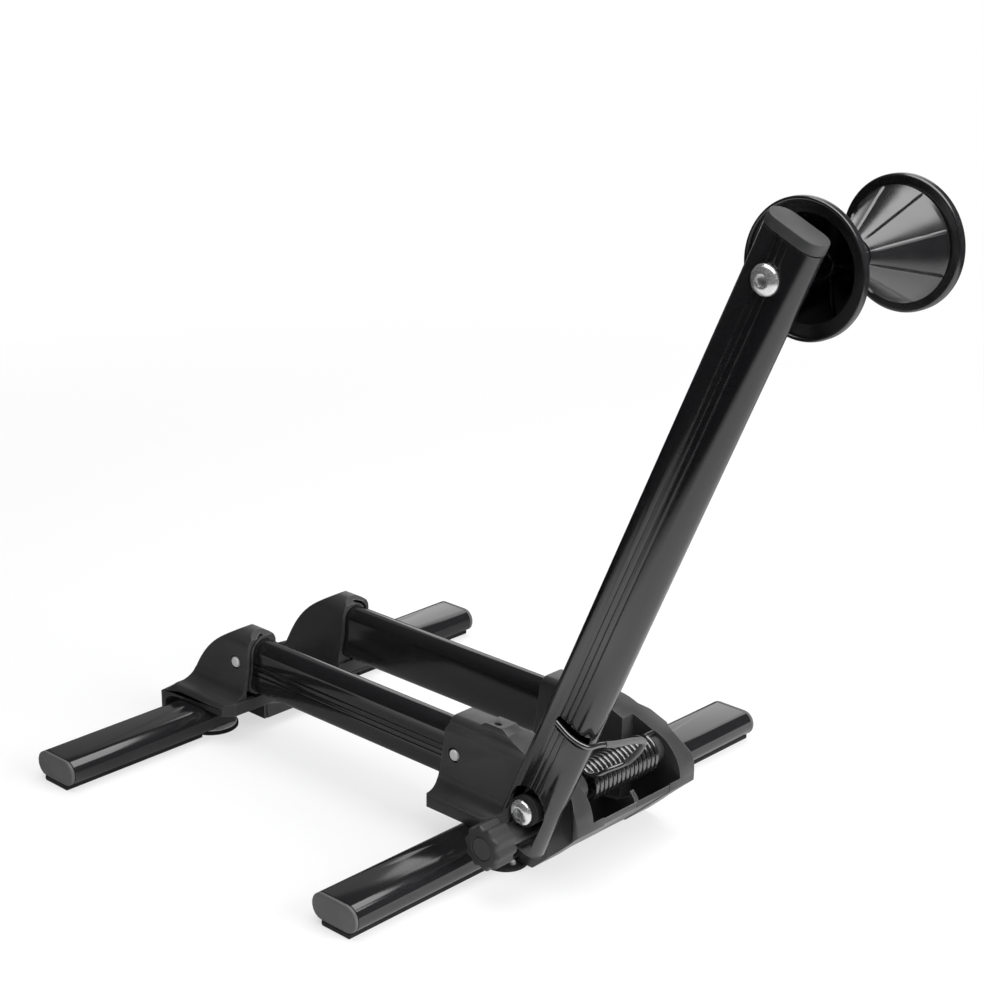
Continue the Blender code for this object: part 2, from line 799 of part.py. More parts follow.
def leg_plan(side):
    # The leg from above: an oval inner end about its pivot, which turns clear of the chamber
    tip = (leg_reach_x - leg_pivot_x) - plug_flange - fit_gap
    points = [(x * leg_end_reach, y * bar_width / 2) for x, y in arc(0, 0, 1, 90, 270, 14)]
    points += [(tip + overshoot, -bar_width / 2), (tip + overshoot, bar_width / 2)]
    return [(side * x, y) for x, y in points]


def add_leg(side_name, end_name, leg_y):
    side = sides[side_name]
    label = "%s_%s" % (end_name, side_name)
    pivot = add_empty("leg_pivot_" + label, (side * leg_pivot_x, leg_y, 0))
    tip = (leg_reach_x - leg_pivot_x) - plug_flange - fit_gap
    centre = (0, leg_mid_z)
    low, high = span(side, -bar_width / 2 - overshoot, tip)
    loops = [stadium(bar_width, bar_thickness, False, centre), bar_bore(centre, False)]
    leg = prism("leg_" + label, "YZ", loops, low, high)
    keep_inside(leg, prism("plan", "XY", [leg_plan(side)], 0, leg_top_z + overshoot))
    cut(leg, rod("bore", pin_radius + fit_gap, 0, leg_top_z + overshoot, along_z()))
    finish(leg, "anodised", pivot)

    low, high = span(side, tip + fit_gap, tip + fit_gap + plug_flange)
    plug = prism("leg_plug_" + label, "YZ", [stadium(bar_width, bar_thickness, False, centre)], low, high)
    round_rims(plug, plug_round)
    width = bar_width - 2 * bar_wall - 2 * fit_gap
    thickness = bar_thickness - 2 * bar_wall - 2 * fit_gap
    low, high = span(side, tip - plug_insert, tip + plug_flange / 2)
    join(plug, prism("insert", "YZ", [stadium(width, thickness, False, centre, 7)], low, high))
    finish(plug, "plug", pivot)

    low, high = span(side, disc_radius + run_gap, tip + plug_flange)
    top = leg_bottom_z - fit_gap
    half = pad_width / 2
    outline = [(-half + pad_round, 0), (half - pad_round, 0), (half, pad_round)]
    outline += [(half, top), (-half, top), (-half, pad_round)]
    pad = prism("leg_pad_" + label, "YZ", [outline], low, high)
    finish(pad, "rubber", pivot)


def add_leg_pivot(side_name, end_name, leg_y):
    side = sides[side_name]
    label = "%s_%s" % (end_name, side_name)
    place = along_z(side * leg_pivot_x, leg_y)
    head_top = foot_lift + pin_head_height
    profile = [(0, pin_top_z), (pin_radius, pin_top_z), (pin_radius, head_top), (pin_head_radius, head_top)]
    profile += [(pin_head_radius, foot_lift), (0, foot_lift)]
    finish(turned("leg_pin_" + label, profile, place, 20), "dark_steel")

    bore = pin_radius + fit_gap
    washer_top = leg_bottom_z - fit_gap
    washer_bottom = washer_top - washer_thickness
    profile = [(bore, washer_top), (washer_radius, washer_top)]
    profile += [(washer_radius, washer_bottom), (bore, washer_bottom)]
    finish(turned("leg_washer_" + label, profile, place, 32, True), "chrome")

    disc_top = washer_bottom - fit_gap
    recess_top = head_top + fit_gap
    if disc_top - recess_top < fit_gap:
        raise ValueError("the foot disc is too thin for the head of its pin")
    foot = prism("leg_foot_" + label, "XY", [foot_outline(side, end_name, leg_y)], 0, disc_top)
    cut(foot, rod("head_recess", pin_head_radius + fit_gap, -overshoot, recess_top, place))
    cut(foot, rod("foot_bore", bore, recess_top - fit_gap, disc_top + overshoot, place))
    if end_name == "rear":
        hole = along_z(side * foot_pin_x, foot_pin_y)
        cut(foot, rod("rivet_bore", foot_pin_radius + fit_gap, -overshoot, disc_top + overshoot, hole, 12))
        top = disc_top + foot_pin_height
        rivet = [(0, top), (foot_pin_radius * 0.7, top), (foot_pin_radius, top - foot_pin_height * 0.3)]
        rivet += [(foot_pin_radius, foot_lift), (0, foot_lift)]
        finish(turned("foot_rivet_" + side_name, rivet, hole, 14), "chrome")
    finish(foot, "rubber")


def foot_outline(side, end_name, leg_y):
    # A round foot under the leg's pivot, with a rounded tail behind it at the rear
    if end_name == "front":
        points = arc(leg_pivot_x, leg_y, disc_radius, 0, 350, 35)
    else:
        points = arc(leg_pivot_x, leg_y, disc_radius, -15, 195, 24)
        points += arc(foot_tail_x, foot_tail_y, foot_tail_radius, 195, 345, 15)
    return [(side * x, y) for x, y in points]


# Arm

def arm_side_outline():
    # The arm from the side: round about the lock at its lower end, square at its top
    top = arm_reach + arm_top
    half = arm_width / 2
    points = arc(0, -arm_end_drop, half, 180, 360, 16)
    points += [(half, top + overshoot), (-half, top + overshoot)]
    return [(y, z) for y, z in points]


def cutaway_outline():
    # An arch whose sides end short of the arm's end, the front one in a pointed blade
    points = arc(0, cutaway_centre, cutaway_half_width, 0, 180, 12)
    low = -arm_end_drop - arm_width
    side = arm_width / 2 + overshoot
    points += [(-cutaway_half_width, cutaway_rear_end), (-side, cutaway_rear_end), (-side, low), (side, low)]
    points += [(side, blade_tip), (cutaway_half_width, blade_top)]
    return points


def hook_slot_outline():
    radius = hook_slot_height / 3
    rear = -arm_width / 2 - overshoot
    high = hook_slot_low + hook_slot_height
    points = [(rear, hook_slot_low)]
    points += arc(hook_slot_end - radius, hook_slot_low + radius, radius, 270, 360, 4)
    points += arc(hook_slot_end - radius, high - radius, radius, 0, 90, 4)
    points += [(rear, high)]
    return points


def add_arm(arm_frame):
    centre = (-arm_mid_x, 0)
    loops = [grooved_bar(centre, -1, arm_width), bar_bore(centre, True, arm_width)]
    arm = prism("arm", "XY", loops, -arm_end_drop - arm_width / 2 - overshoot, arm_reach + arm_top)
    low = -arm_outer_x - overshoot
    high = -arm_inner_x + overshoot
    keep_inside(arm, prism("side_outline", "YZ", [arm_side_outline()], low, high))
    cut(arm, prism("cutaway", "YZ", [cutaway_outline()], low, -arm_inner_x - bar_wall - fit_gap))
    cut(arm, prism("hook_slot", "YZ", [hook_slot_outline()], low, -arm_outer_x + hook_slot_depth))
    inner_low = -arm_inner_x - overlap_depth
    cut(arm, rod("hub_bore", hub_radius + fit_gap, inner_low, high, along_x(), 24))
    cut(arm, rod("lock_bore", lock_pin_radius + fit_gap, inner_low, high, along_x(0, -lock_drop)))
    cut(arm, rod("axle_bore", axle_radius + fit_gap, low, high, along_x(0, arm_reach)))
    finish(arm, "anodised", arm_frame)


def add_arm_plug(arm_frame):
    low = arm_reach + arm_top + fit_gap
    centre = (-arm_mid_x, 0)
    high = low + arm_plug_flange
    plug = prism("arm_plug", "XY", [stadium(arm_width, bar_thickness, True, centre)], low, high)
    round_rims(plug, arm_plug_round)
    width = arm_width - 2 * bar_wall - 2 * fit_gap
    thickness = bar_thickness - 2 * bar_wall - 2 * fit_gap
    outline = stadium(width, thickness, True, centre, 7)
    join(plug, prism("insert", "XY", [outline], low - plug_insert, low + arm_plug_flange / 2))
    finish(plug, "plug", arm_frame)


def add_arm_hub(arm_frame):
    # The bush that the arm turns on: a flange beside the cheek and a barrel through the arm
    bore = shaft_radius + fit_gap
    outer = -arm_outer_x + fit_gap
    flange_outer = -arm_inner_x + fit_gap
    inner = -cheek_x - fit_gap * 2
    profile = [(bore, inner), (hub_flange_radius, inner), (hub_flange_radius, flange_outer)]
    profile += [(hub_radius, flange_outer), (hub_radius, outer), (bore, outer)]
    finish(turned("arm_hub", profile, along_x(), 28, True), "moulding", arm_frame)


def add_pivot_shaft():
    # The shaft lies through both rear cheeks, its left end flush with the hub
    place = along_x(pivot_y, pivot_z)
    left = -arm_outer_x + fit_gap
    bore = bolt_shank_radius + fit_gap
    depth = left + bolt_shank_length + fit_gap
    profile = [(0, shaft_end_x), (shaft_radius, shaft_end_x), (shaft_radius, left)]
    profile += [(bore, left), (bore, depth), (0, depth)]
    finish(turned("pivot_shaft", profile, place, 24), "dark_steel")

    washer_high = left - fit_gap
    washer_low = washer_high - pivot_washer_thickness
    profile = [(bore, washer_high), (pivot_washer_radius, washer_high)]
    profile += [(pivot_washer_radius, washer_low), (bore, washer_low)]
    finish(turned("pivot_washer", profile, place, 28, True), "rubber")

    seat = washer_low - fit_gap
    tip = left + bolt_shank_length
    profile = [(0, tip), (bolt_shank_radius, tip), (bolt_shank_radius, seat)]
    profile += [(bolt_head_radius, seat), (bolt_head_radius, seat - bolt_head_height * 0.45)]
    profile += [(bolt_head_radius * 0.72, seat - bolt_head_height), (0, seat - bolt_head_height)]
    bolt = turned("pivot_bolt", profile, place, 28)
    cut_hex_socket(bolt, seat - bolt_head_height, bolt_head_height * 0.6, place, bolt_head_radius * 0.42)
    finish(bolt, "chrome")


def cut_hex_socket(bolt, face, depth, place, radius):
    socket = rod("hex_socket", radius, face - overshoot, face + depth, place, 6)
    cut(bolt, socket)


def coil_points():
    # Centre line of the coil in the arm's frame, from the right cheek to where the leg leaves it
    first_angle = math.pi / 2 - arm_lean
    sweep = coil_turns * 2 * math.pi + coil_extra_turn
    count = round(points_per_turn * sweep / (2 * math.pi))
    points = []
    for index in range(count + 1):
        angle = first_angle + sweep * index / count
        x = coil_right_x + (coil_left_x - coil_right_x) * index / count
        points.append(Vector((x, coil_radius * math.cos(angle), coil_radius * math.sin(angle))))
    return points


def add_spring(arm_frame):
    coil = coil_points()
    first = coil[0]
    anchor_x = spring_bay_x + spring_anchor_length - fit_gap
    anchor = [Vector((anchor_x, first.y, first.z)), Vector((first.x + 1.3 * wire_radius, first.y, first.z))]
    leg = spring_leg(coil[-1])
    points = anchor + coil + leg
    print_least_gap(points)
    curve = bpy.data.curves.new("torsion_spring", "CURVE")
    curve.dimensions = "3D"
    curve.bevel_depth = wire_radius
    curve.bevel_resolution = 1
    curve.use_fill_caps = True
    spline = curve.splines.new("POLY")
    spline.points.add(len(points) - 1)
    for point, place in zip(spline.points, points):
        point.co = (*place, 1)
    item = bpy.data.objects.new("torsion_spring", curve)
    part_collection.objects.link(item)
    bpy.context.view_layer.update()
    finish(baked(item, "torsion_spring", Matrix.Identity(4)), "spring_steel", arm_frame)


def spring_leg(end):
    # The wire leaves the coil, runs back over it, turns up and comes round the arm into its slot
    behind = -arm_width / 2 - wire_radius - fit_gap
    outer = -arm_outer_x - wire_radius - fit_gap
    rise = ((-0.0005, -0.0045, 0.0022), (0.0020, -0.0080, 0.0055), (0.0060, -0.0098, 0.0085),
            (0.0110, -0.0110, 0.0118), (0.0140, -0.0122, 0.0165), (0.0150, -0.0140, 0.0240),
            (0.0142, -0.0165, 0.0310), (0.0115, -0.0190, 0.0360), (0.0060, -0.0205, 0.0390))
    points = [end + Vector(step) for step in rise]
    hook_rise = (hook_height - points[-1].z) / (points[-1].x - outer)
    for x in (end.x - 0.010, -arm_inner_x, outer + 0.0060, outer + 0.0022):
        points.append(Vector((x, behind, hook_height - (x - outer) * hook_rise)))
    points.append(Vector((outer + 0.0005, behind + 0.0014, hook_height)))
    points.append(Vector((outer, behind + 0.0040, hook_height)))
    points.append(Vector((outer, -0.004, hook_height)))
    points.append(Vector((outer, hook_slot_end - 2 * wire_radius, hook_height)))
    return points


def print_least_gap(points):
    # Least free space between stretches of the wire that aren't neighbours along it
    least = 1.0
    apart = points_per_turn // 2
    for first in range(len(points)):
        for second in range(first + apart, len(points)):
            least = min(least, (points[first] - points[second]).length)
    print("torsion spring: least gap to itself %.2f mm" % ((least - 2 * wire_radius) * 1000))


def knob_outline():
    points = []
    steps = knob_lobes * 6
    for index in range(steps):
        angle = 2 * math.pi * index / steps
        radius = knob_radius + knob_lobe * math.cos(knob_lobes * angle)
        points.append((radius * math.cos(angle), radius * math.sin(angle)))
    return points


def add_knob(arm_frame):
    knob_frame = add_empty("knob_axis", (0, 0, -lock_drop), arm_frame)
    wall_face = -arm_inner_x - bar_wall - fit_gap
    barrel_end = -knob_back_x
    pin_end = -cheek_x - fit_gap * 2
    stem_end = barrel_end - knob_thickness / 2
    profile = [(0, pin_end), (lock_pin_radius, pin_end), (lock_pin_radius, wall_face)]
    profile += [(lock_barrel_radius, wall_face), (lock_barrel_radius, barrel_end)]
    profile += [(lock_pin_radius, barrel_end), (lock_pin_radius, stem_end), (0, stem_end)]
    barrel = turned("lock_barrel", profile, along_x(0, -lock_drop), 24)
    finish(barrel, "moulding", arm_frame)

    back = barrel_end - fit_gap
    front = back - knob_thickness
    knob = prism("knob", "YZ", [knob_outline()], front, back)
    round_rims(knob, knob_round)
    cut(knob, rod("stem_bore", lock_pin_radius + fit_gap, stem_end - fit_gap, back + overshoot, along_x()))
    recess = front + knob_cap_recess
    cut(knob, rod("cap_recess", knob_cap_radius + fit_gap, front - overshoot, recess, along_x(), 28))
    finish(knob, "moulding", knob_frame)

    seat = recess - fit_gap
    cap_profile = [(0, seat), (knob_cap_radius, seat), (knob_cap_radius, seat - knob_cap_thickness * 0.6)]
    cap_profile += [(knob_cap_radius * 0.85, seat - knob_cap_thickness), (0, seat - knob_cap_thickness)]
    finish(turned("knob_cap", cap_profile, along_x(), 28), "plug", knob_frame)


# Rollers

def cone_shell(name, side):
    # A cone of flat faces with a fine ridge along each of its edges
    work = bmesh.new()
    corners = ridge_count * 3
    length = roller_half_length - flange_width - flange_groove - roller_gap / 2
    bmesh.ops.create_cone(work, cap_ends=True, segments=corners, radius1=1, radius2=1, depth=length)
    rings = [sorted((v for v in work.verts if v.co.z * sign > 0), key=lambda v: math.atan2(v.co.y, v.co.x))
             for sign in (-1, 1)]
    for ring, radius in zip(rings, (waist_radius, face_radius)):
        for index, vertex in enumerate(ring):
            group, place = divmod(index, 3)
            angle = -math.pi + group * 2 * math.pi / ridge_count + (place - 1) * ridge_half_angle
            grown = radius + (ridge_height if place == 1 else 0)
            vertex.co.x = grown * math.cos(angle)
            vertex.co.y = grown * math.sin(angle)
    mesh = bpy.data.meshes.new(name)
    bmesh.ops.recalc_face_normals(work, faces=work.faces)
    work.to_mesh(mesh)
    work.free()
    turn = Matrix.Rotation(math.pi / 2 * side, 4, "Y")
    mesh.transform(turn @ Matrix.Translation(Vector((0, 0, roller_gap / 2 + length / 2))))
    return mesh_object(name, mesh, part_collection)


def add_cone(side_name, roller_frame):
    side = sides[side_name]
    turn = Matrix.Rotation(math.pi / 2 * side, 4, "Y")
    cone = cone_shell("roller_" + side_name, side)
    face_end = roller_half_length - flange_width - flange_groove
    bead = flange_width / 2
    bead_centre = roller_half_length - bead
    rim = [(0, roller_half_length), (flange_radius - bead, roller_half_length)]
    rim += arc(flange_radius - bead, bead_centre, bead, 90, -90, 8)[1:]
    rim += [(flange_groove_radius, face_end + flange_groove), (flange_groove_radius, face_end - overshoot)]
    rim += [(0, face_end - overshoot)]
    join(cone, turned("rim", rim, turn, roller_steps))
    slope = (face_radius - waist_radius) / (face_end - roller_gap / 2)
    web_radius = waist_radius + slope * cone_web - cone_wall
    rim_inner = flange_radius - bead - cone_wall * 0.6
    neck_inner = flange_groove_radius - cone_wall * 0.7
    face_inner = neck_inner - cone_wall * 0.2
    step = face_end + flange_groove + cone_wall * 0.8
    hollow = [(0, roller_half_length + overshoot), (rim_inner, roller_half_length + overshoot)]
    hollow += [(rim_inner, step), (neck_inner, step), (face_inner, face_end - flange_groove)]
    hollow += [(web_radius, cone_web), (cone_hub_radius, cone_web)]
    hollow += [(cone_hub_radius, cone_hub_end), (0, cone_hub_end)]
    cut(cone, turned("hollow", hollow, turn, roller_steps))
    for number in range(cone_webs):
        angle = math.pi * number / cone_webs
        half = [(cone_hub_radius / 2, cone_hub_end - cone_wall)]
        half += [(face_inner + cone_wall / 3, face_end - flange_groove)]
        half += [(web_radius + cone_wall / 3, cone_web - cone_wall / 2)]
        outline = half + [(-x, z) for x, z in half[::-1]]
        rib = prism("web_%d" % number, "XZ", [outline], -cone_rib_thickness / 2, cone_rib_thickness / 2)
        rib.data.transform(turn @ Matrix.Rotation(angle, 4, "Z"))
        combine(cone, rib, "UNION", "MANIFOLD")
    low, high = span(side, 0, roller_half_length)
    combine(cone, rod("bore", axle_radius + fit_gap, low, high, along_x()), "DIFFERENCE", "MANIFOLD")
    finish(cone, "roller", roller_frame)


def add_axle(arm_frame):
    place = along_x(0, arm_reach)
    head_seat = -arm_outer_x - fit_gap
    end = cone_hub_end + run_gap + axle_nut_height + axle_end_spare
    profile = [(0, end), (axle_radius, end), (axle_radius, head_seat), (axle_head_radius, head_seat)]
    profile += [(axle_head_radius, head_seat - axle_head_height * 0.45)]
    profile += [(axle_head_radius * 0.72, head_seat - axle_head_height), (0, head_seat - axle_head_height)]
    bolt = turned("axle_bolt", profile, place, 28)
    cut_hex_socket(bolt, head_seat - axle_head_height, axle_head_height * 0.6, place, axle_head_radius * 0.42)
    finish(bolt, "chrome", arm_frame)

    bore = axle_radius + fit_gap
    low = cone_hub_end + run_gap
    nut = rod("axle_nut", axle_nut_radius, low, low + axle_nut_height, place, 6)
    cut(nut, rod("nut_bore", bore, low - overshoot, low + axle_nut_height + overshoot, place))
    finish(nut, "chrome", arm_frame)

    low = -arm_inner_x + fit_gap
    high = -cone_hub_end - run_gap
    profile = [(bore, high), (spacer_radius, high), (spacer_radius, low), (bore, low)]
    finish(turned("axle_spacer", profile, place, 24, True), "dark_steel", arm_frame)


def build():
    global part_collection, cutter_collection
    clear_scene()
    part_collection = add_collection("bike_parking_stand")
    cutter_collection = add_collection("stand_cutters")
    add_materials()
    for side_name in sides:
        add_rail(side_name)
        add_front_housing(side_name)
        add_rear_housing(side_name)
        add_cheek_screw(side_name, "front", front_screw_y)
        add_cheek_screw(side_name, "rear", rear_screw_y)
        for end_name, leg_y in (("front", front_leg_y), ("rear", rear_leg_y)):
            add_leg(side_name, end_name, leg_y)
            add_leg_pivot(side_name, end_name, leg_y)
    add_pivot_shaft()
    arm_frame = add_empty("arm_pivot", (0, pivot_y, pivot_z), lean=arm_lean)
    add_arm(arm_frame)
    add_arm_plug(arm_frame)
    add_arm_hub(arm_frame)
    add_spring(arm_frame)
    add_knob(arm_frame)
    add_axle(arm_frame)
    roller_frame = add_empty("roller_axis", (0, 0, arm_reach), arm_frame)
    for side_name in sides:
        add_cone(side_name, roller_frame)


build()
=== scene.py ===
import json
import math

import bmesh
import bpy
from mathutils import Matrix, Vector


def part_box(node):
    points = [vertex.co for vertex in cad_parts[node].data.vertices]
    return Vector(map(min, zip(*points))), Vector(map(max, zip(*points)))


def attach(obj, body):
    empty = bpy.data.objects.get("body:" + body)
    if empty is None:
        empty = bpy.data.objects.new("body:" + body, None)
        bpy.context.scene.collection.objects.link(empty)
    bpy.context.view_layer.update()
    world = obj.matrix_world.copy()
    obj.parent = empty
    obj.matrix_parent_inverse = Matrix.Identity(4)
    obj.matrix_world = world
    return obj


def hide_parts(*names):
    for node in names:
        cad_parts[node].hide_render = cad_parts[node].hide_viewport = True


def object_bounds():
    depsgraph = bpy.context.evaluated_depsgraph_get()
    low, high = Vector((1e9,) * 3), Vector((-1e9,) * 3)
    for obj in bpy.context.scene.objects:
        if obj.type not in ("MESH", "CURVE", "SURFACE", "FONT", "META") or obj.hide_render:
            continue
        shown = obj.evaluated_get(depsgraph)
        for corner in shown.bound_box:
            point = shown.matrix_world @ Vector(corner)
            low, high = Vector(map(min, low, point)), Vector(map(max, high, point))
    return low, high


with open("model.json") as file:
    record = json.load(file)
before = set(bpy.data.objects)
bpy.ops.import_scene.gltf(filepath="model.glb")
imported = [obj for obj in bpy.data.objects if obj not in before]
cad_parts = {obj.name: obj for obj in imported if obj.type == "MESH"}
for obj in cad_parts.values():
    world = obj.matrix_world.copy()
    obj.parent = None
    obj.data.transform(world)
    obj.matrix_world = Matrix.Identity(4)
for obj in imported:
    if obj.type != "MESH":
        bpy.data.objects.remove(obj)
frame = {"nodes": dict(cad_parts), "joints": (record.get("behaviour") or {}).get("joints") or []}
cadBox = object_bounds()
nodes = frame["nodes"]
sides = {"left": -1, "right": 1}
turnsAt = {joint["name"]: joint["pos_m"] for joint in frame["joints"]}
ends = {end: turnsAt["fold_%s_left" % end][1] for end in ("front", "rear")}  # along Y
pivot = turnsAt["arm_swing"][1:]
armLean = math.radians(24.11)

print("stage 1: node helpers, camera, lights and floor")


def linked(name, data):
    item = bpy.data.objects.new(name, data)
    bpy.context.scene.collection.objects.link(item)
    return item


def addNode(tree, kind, inputs=None, **settings):
    # a node with its settings; an input takes a plain value or another node's socket
    node = tree.nodes.new(kind)
    for key, value in settings.items():
        setattr(node, key, value)
    for key, value in (inputs or {}).items():
        if isinstance(value, bpy.types.NodeSocket):
            tree.links.new(value, node.inputs[key])
        else:
            node.inputs[key].default_value = value
    return node


def maths(tree, operation, first, second):
    return addNode(tree, "ShaderNodeMath", {0: first, 1: second}, operation=operation).outputs[0]


def newFinish(name, colour, roughness, metallic=0.0, specular=0.5, ior=1.5):
    material = bpy.data.materials.new(name)
    material.use_nodes = True
    tree = material.node_tree
    shader = tree.nodes["Principled BSDF"]
    values = {"Base Color": (*colour, 1), "Roughness": roughness, "Metallic": metallic,
              "Specular IOR Level": specular, "IOR": ior}
    for key, value in values.items():
        shader.inputs[key].default_value = value
    return material, tree, shader


def pattern(tree, frequency, stretch=(1, 1, 1), turn=(0, 0, 0), detail=3.0):
    # noise on Object coordinates, drawn out along an axis by a stretch above 1
    place = addNode(tree, "ShaderNodeTexCoord").outputs["Object"]
    values = {"Vector": place, "Rotation": turn, "Scale": stretch}
    mapping = addNode(tree, "ShaderNodeMapping", values, vector_type="TEXTURE")
    values = {"Vector": mapping.outputs["Vector"], "Scale": frequency, "Detail": detail}
    return addNode(tree, "ShaderNodeTexNoise", values).outputs["Fac"]


def ranged(tree, value, low, high, start=0.3, end=0.7):
    values = {"Value": value, "From Min": start, "From Max": end, "To Min": low, "To Max": high}
    return addNode(tree, "ShaderNodeMapRange", values).outputs["Result"]


def blended(tree, factor, first, second):
    # first is a colour or a socket; a mix node's colour sockets come after its number and vector ones
    if isinstance(first, tuple):
        first = (*first, 1)
    values = {"Factor": factor, 6: first, 7: (*second, 1)}
    return addNode(tree, "ShaderNodeMix", values, data_type="RGBA").outputs[2]


def edgeWearAndHighlight(tree, radius, patches):
    # 0 on flat ground, up to 1 on an edge, broken up by patches; it paints edges pale, as wear and, on the
    # moulding, partly as a painted highlight
    bevel = addNode(tree, "ShaderNodeBevel", {"Radius": radius}, samples=4)
    geometry = addNode(tree, "ShaderNodeNewGeometry")
    normals = {0: bevel.outputs["Normal"], 1: geometry.outputs["Normal"]}
    dot = addNode(tree, "ShaderNodeVectorMath", normals, operation="DOT_PRODUCT")
    edge = ranged(tree, dot.outputs["Value"], 1.0, 0.0, 0.80, 0.985)
    return maths(tree, "MULTIPLY", edge, ranged(tree, patches, 0.25, 1.0, 0.35, 0.65))


def bumped(tree, shader, height, strength, distance):
    bump = addNode(tree, "ShaderNodeBump", {"Height": height, "Strength": strength, "Distance": distance})
    tree.links.new(bump.outputs["Normal"], shader.inputs["Normal"])


view = {
    "place": (-0.91636, -0.83946, 0.63485),
    "yaw": 46.8, "pitch": -18.79, "roll": 0.49,
    "focalPixels": 2158.5, "imagePixels": 984, "sensor": 36.0, "shiftPixels": 0.5,
}
studio = {
    "world": 0.03, "floorColour": (0.92, 0.92, 0.925), "floorSize": 30.0, "floorDrop": 0.0002,
    "floorGlow": (0.62, 1.0), "glowReach": (0.45, 1.3),
    # what gloss sees of the floor: its own shade near the stand,
    # and a light patch that ends to the front left
    "glossShare": (0.88, 1.0), "shareReach": (0.30, 0.50), "patchLevel": 0.90, "patchReach": (0.55, 1.02),
    "patchCentre": (-0.15, -0.35, 0.0), "patchShade": 0.84, "shadeX": (-0.28, -0.15), "shadeY": (-0.10, 0.05),
    "lamps": {
        # place, point it faces, size, watts, seen in gloss
        "overhead": ((-0.1, -0.6, 2.4), (-0.1, -0.6, 0.0), (2.5, 3.1), 74.0, True),
        "backCard": ((2.10, 1.20, 0.95), (0.0, 0.0, 0.3), (1.8, 1.70), 11.0, True),
        "backCardEnd": ((1.25, 2.08, 0.95), (0.0, 0.0, 0.3), (1.0, 1.75), 1.3, True),
        "rearFill": ((0.5, -1.8, 0.9), (0.0, -0.1, 0.1), (1.6, 1.2), 50.0, False),
    },
}


def addCamera():
    # yaw from +Y towards +X, then pitch, then roll about the line of sight
    turn = Matrix.Rotation(math.radians(-view["yaw"]), 4, "Z")
    turn = turn @ Matrix.Rotation(math.radians(90 + view["pitch"]), 4, "X")
    turn = turn @ Matrix.Rotation(math.radians(view["roll"]), 4, "Z")
    data = bpy.data.cameras.new("photoCamera")
    data.sensor_width = view["sensor"]
    data.lens = view["focalPixels"] * view["sensor"] / view["imagePixels"]
    data.shift_x = -view["shiftPixels"] / view["imagePixels"]
    data.shift_y = view["shiftPixels"] / view["imagePixels"]
    data.clip_end = 100
    camera = linked("photoCamera", data)
    camera.matrix_world = Matrix.Translation(Vector(view["place"])) @ turn
    bpy.context.scene.camera = camera


def addLamps():
    for name, (place, facing, size, power, inGloss) in studio["lamps"].items():
        data = bpy.data.lights.new(name, "AREA")
        data.shape = "RECTANGLE"
        data.size, data.size_y = size
        data.energy = power
        lamp = linked(name, data)
        lamp.location = place
        lamp.visible_glossy = inGloss
        lamp.rotation_euler = (Vector(facing) - Vector(place)).to_track_quat("-Z", "Y").to_euler()


def addWorld():
    world = bpy.data.worlds.new("studio")
    world.use_nodes = True
    background = world.node_tree.nodes["Background"]
    background.inputs["Color"].default_value = (1, 1, 1, 1)
    background.inputs["Strength"].default_value = studio["world"]
    bpy.context.scene.world = world


def addFloor():
    half = studio["floorSize"] / 2
    mesh = bpy.data.meshes.new("floor")
    corners = [(-half, -half, 0), (half, -half, 0), (half, half, 0), (-half, half, 0)]
    mesh.from_pydata(corners, [], [(0, 1, 2, 3)])
    floor = linked("floor", mesh)
    floor.location.z = cadBox[0][2] - studio["floorDrop"]
    mesh.materials.append(floorMaterial())


def floorMaterial():
    # white to the camera and a light patch in gloss, with part of its own shade kept near the stand
    material, tree, shader = newFinish("paleFloor", studio["floorColour"], 0.8, specular=0.1)
    place = addNode(tree, "ShaderNodeTexCoord").outputs["Object"]
    away = addNode(tree, "ShaderNodeVectorMath", {0: place}, operation="LENGTH").outputs["Value"]
    spots = {0: place, 1: studio["patchCentre"]}
    offset = addNode(tree, "ShaderNodeVectorMath", spots, operation="DISTANCE").outputs["Value"]
    axes = addNode(tree, "ShaderNodeSeparateXYZ", {0: place})
    path = addNode(tree, "ShaderNodeLightPath")
    camera, gloss = path.outputs["Is Camera Ray"], path.outputs["Is Glossy Ray"]
    seen = maths(tree, "MULTIPLY", camera, ranged(tree, away, *studio["floorGlow"], *studio["glowReach"]))
    near = maths(tree, "MULTIPLY", gloss, ranged(tree, away, *studio["glossShare"], *studio["shareReach"]))
    dimX = ranged(tree, axes.outputs["X"], 0.0, studio["patchShade"], *studio["shadeX"])
    dimY = ranged(tree, axes.outputs["Y"], 0.0, 1.0, *studio["shadeY"])
    bright = ranged(tree, maths(tree, "MULTIPLY", dimX, dimY), 1.0, 0.0, 0.0, 1.0)
    patch = ranged(tree, offset, studio["patchLevel"], 0.0, *studio["patchReach"])
    inGloss = maths(tree, "MULTIPLY", gloss, maths(tree, "MULTIPLY", patch, bright))
    glow = addNode(tree, "ShaderNodeEmission", {"Strength": maths(tree, "ADD", camera, inGloss)})
    shares = {0: maths(tree, "ADD", seen, near), 1: shader.outputs[0], 2: glow.outputs[0]}
    mix = addNode(tree, "ShaderNodeMixShader", shares)
    tree.links.new(mix.outputs[0], tree.nodes["Material Output"].inputs["Surface"])
    return material


addCamera()
addLamps()
addWorld()
addFloor()
bpy.context.scene.view_settings.view_transform = "Standard"

print("stage 2: finishes")

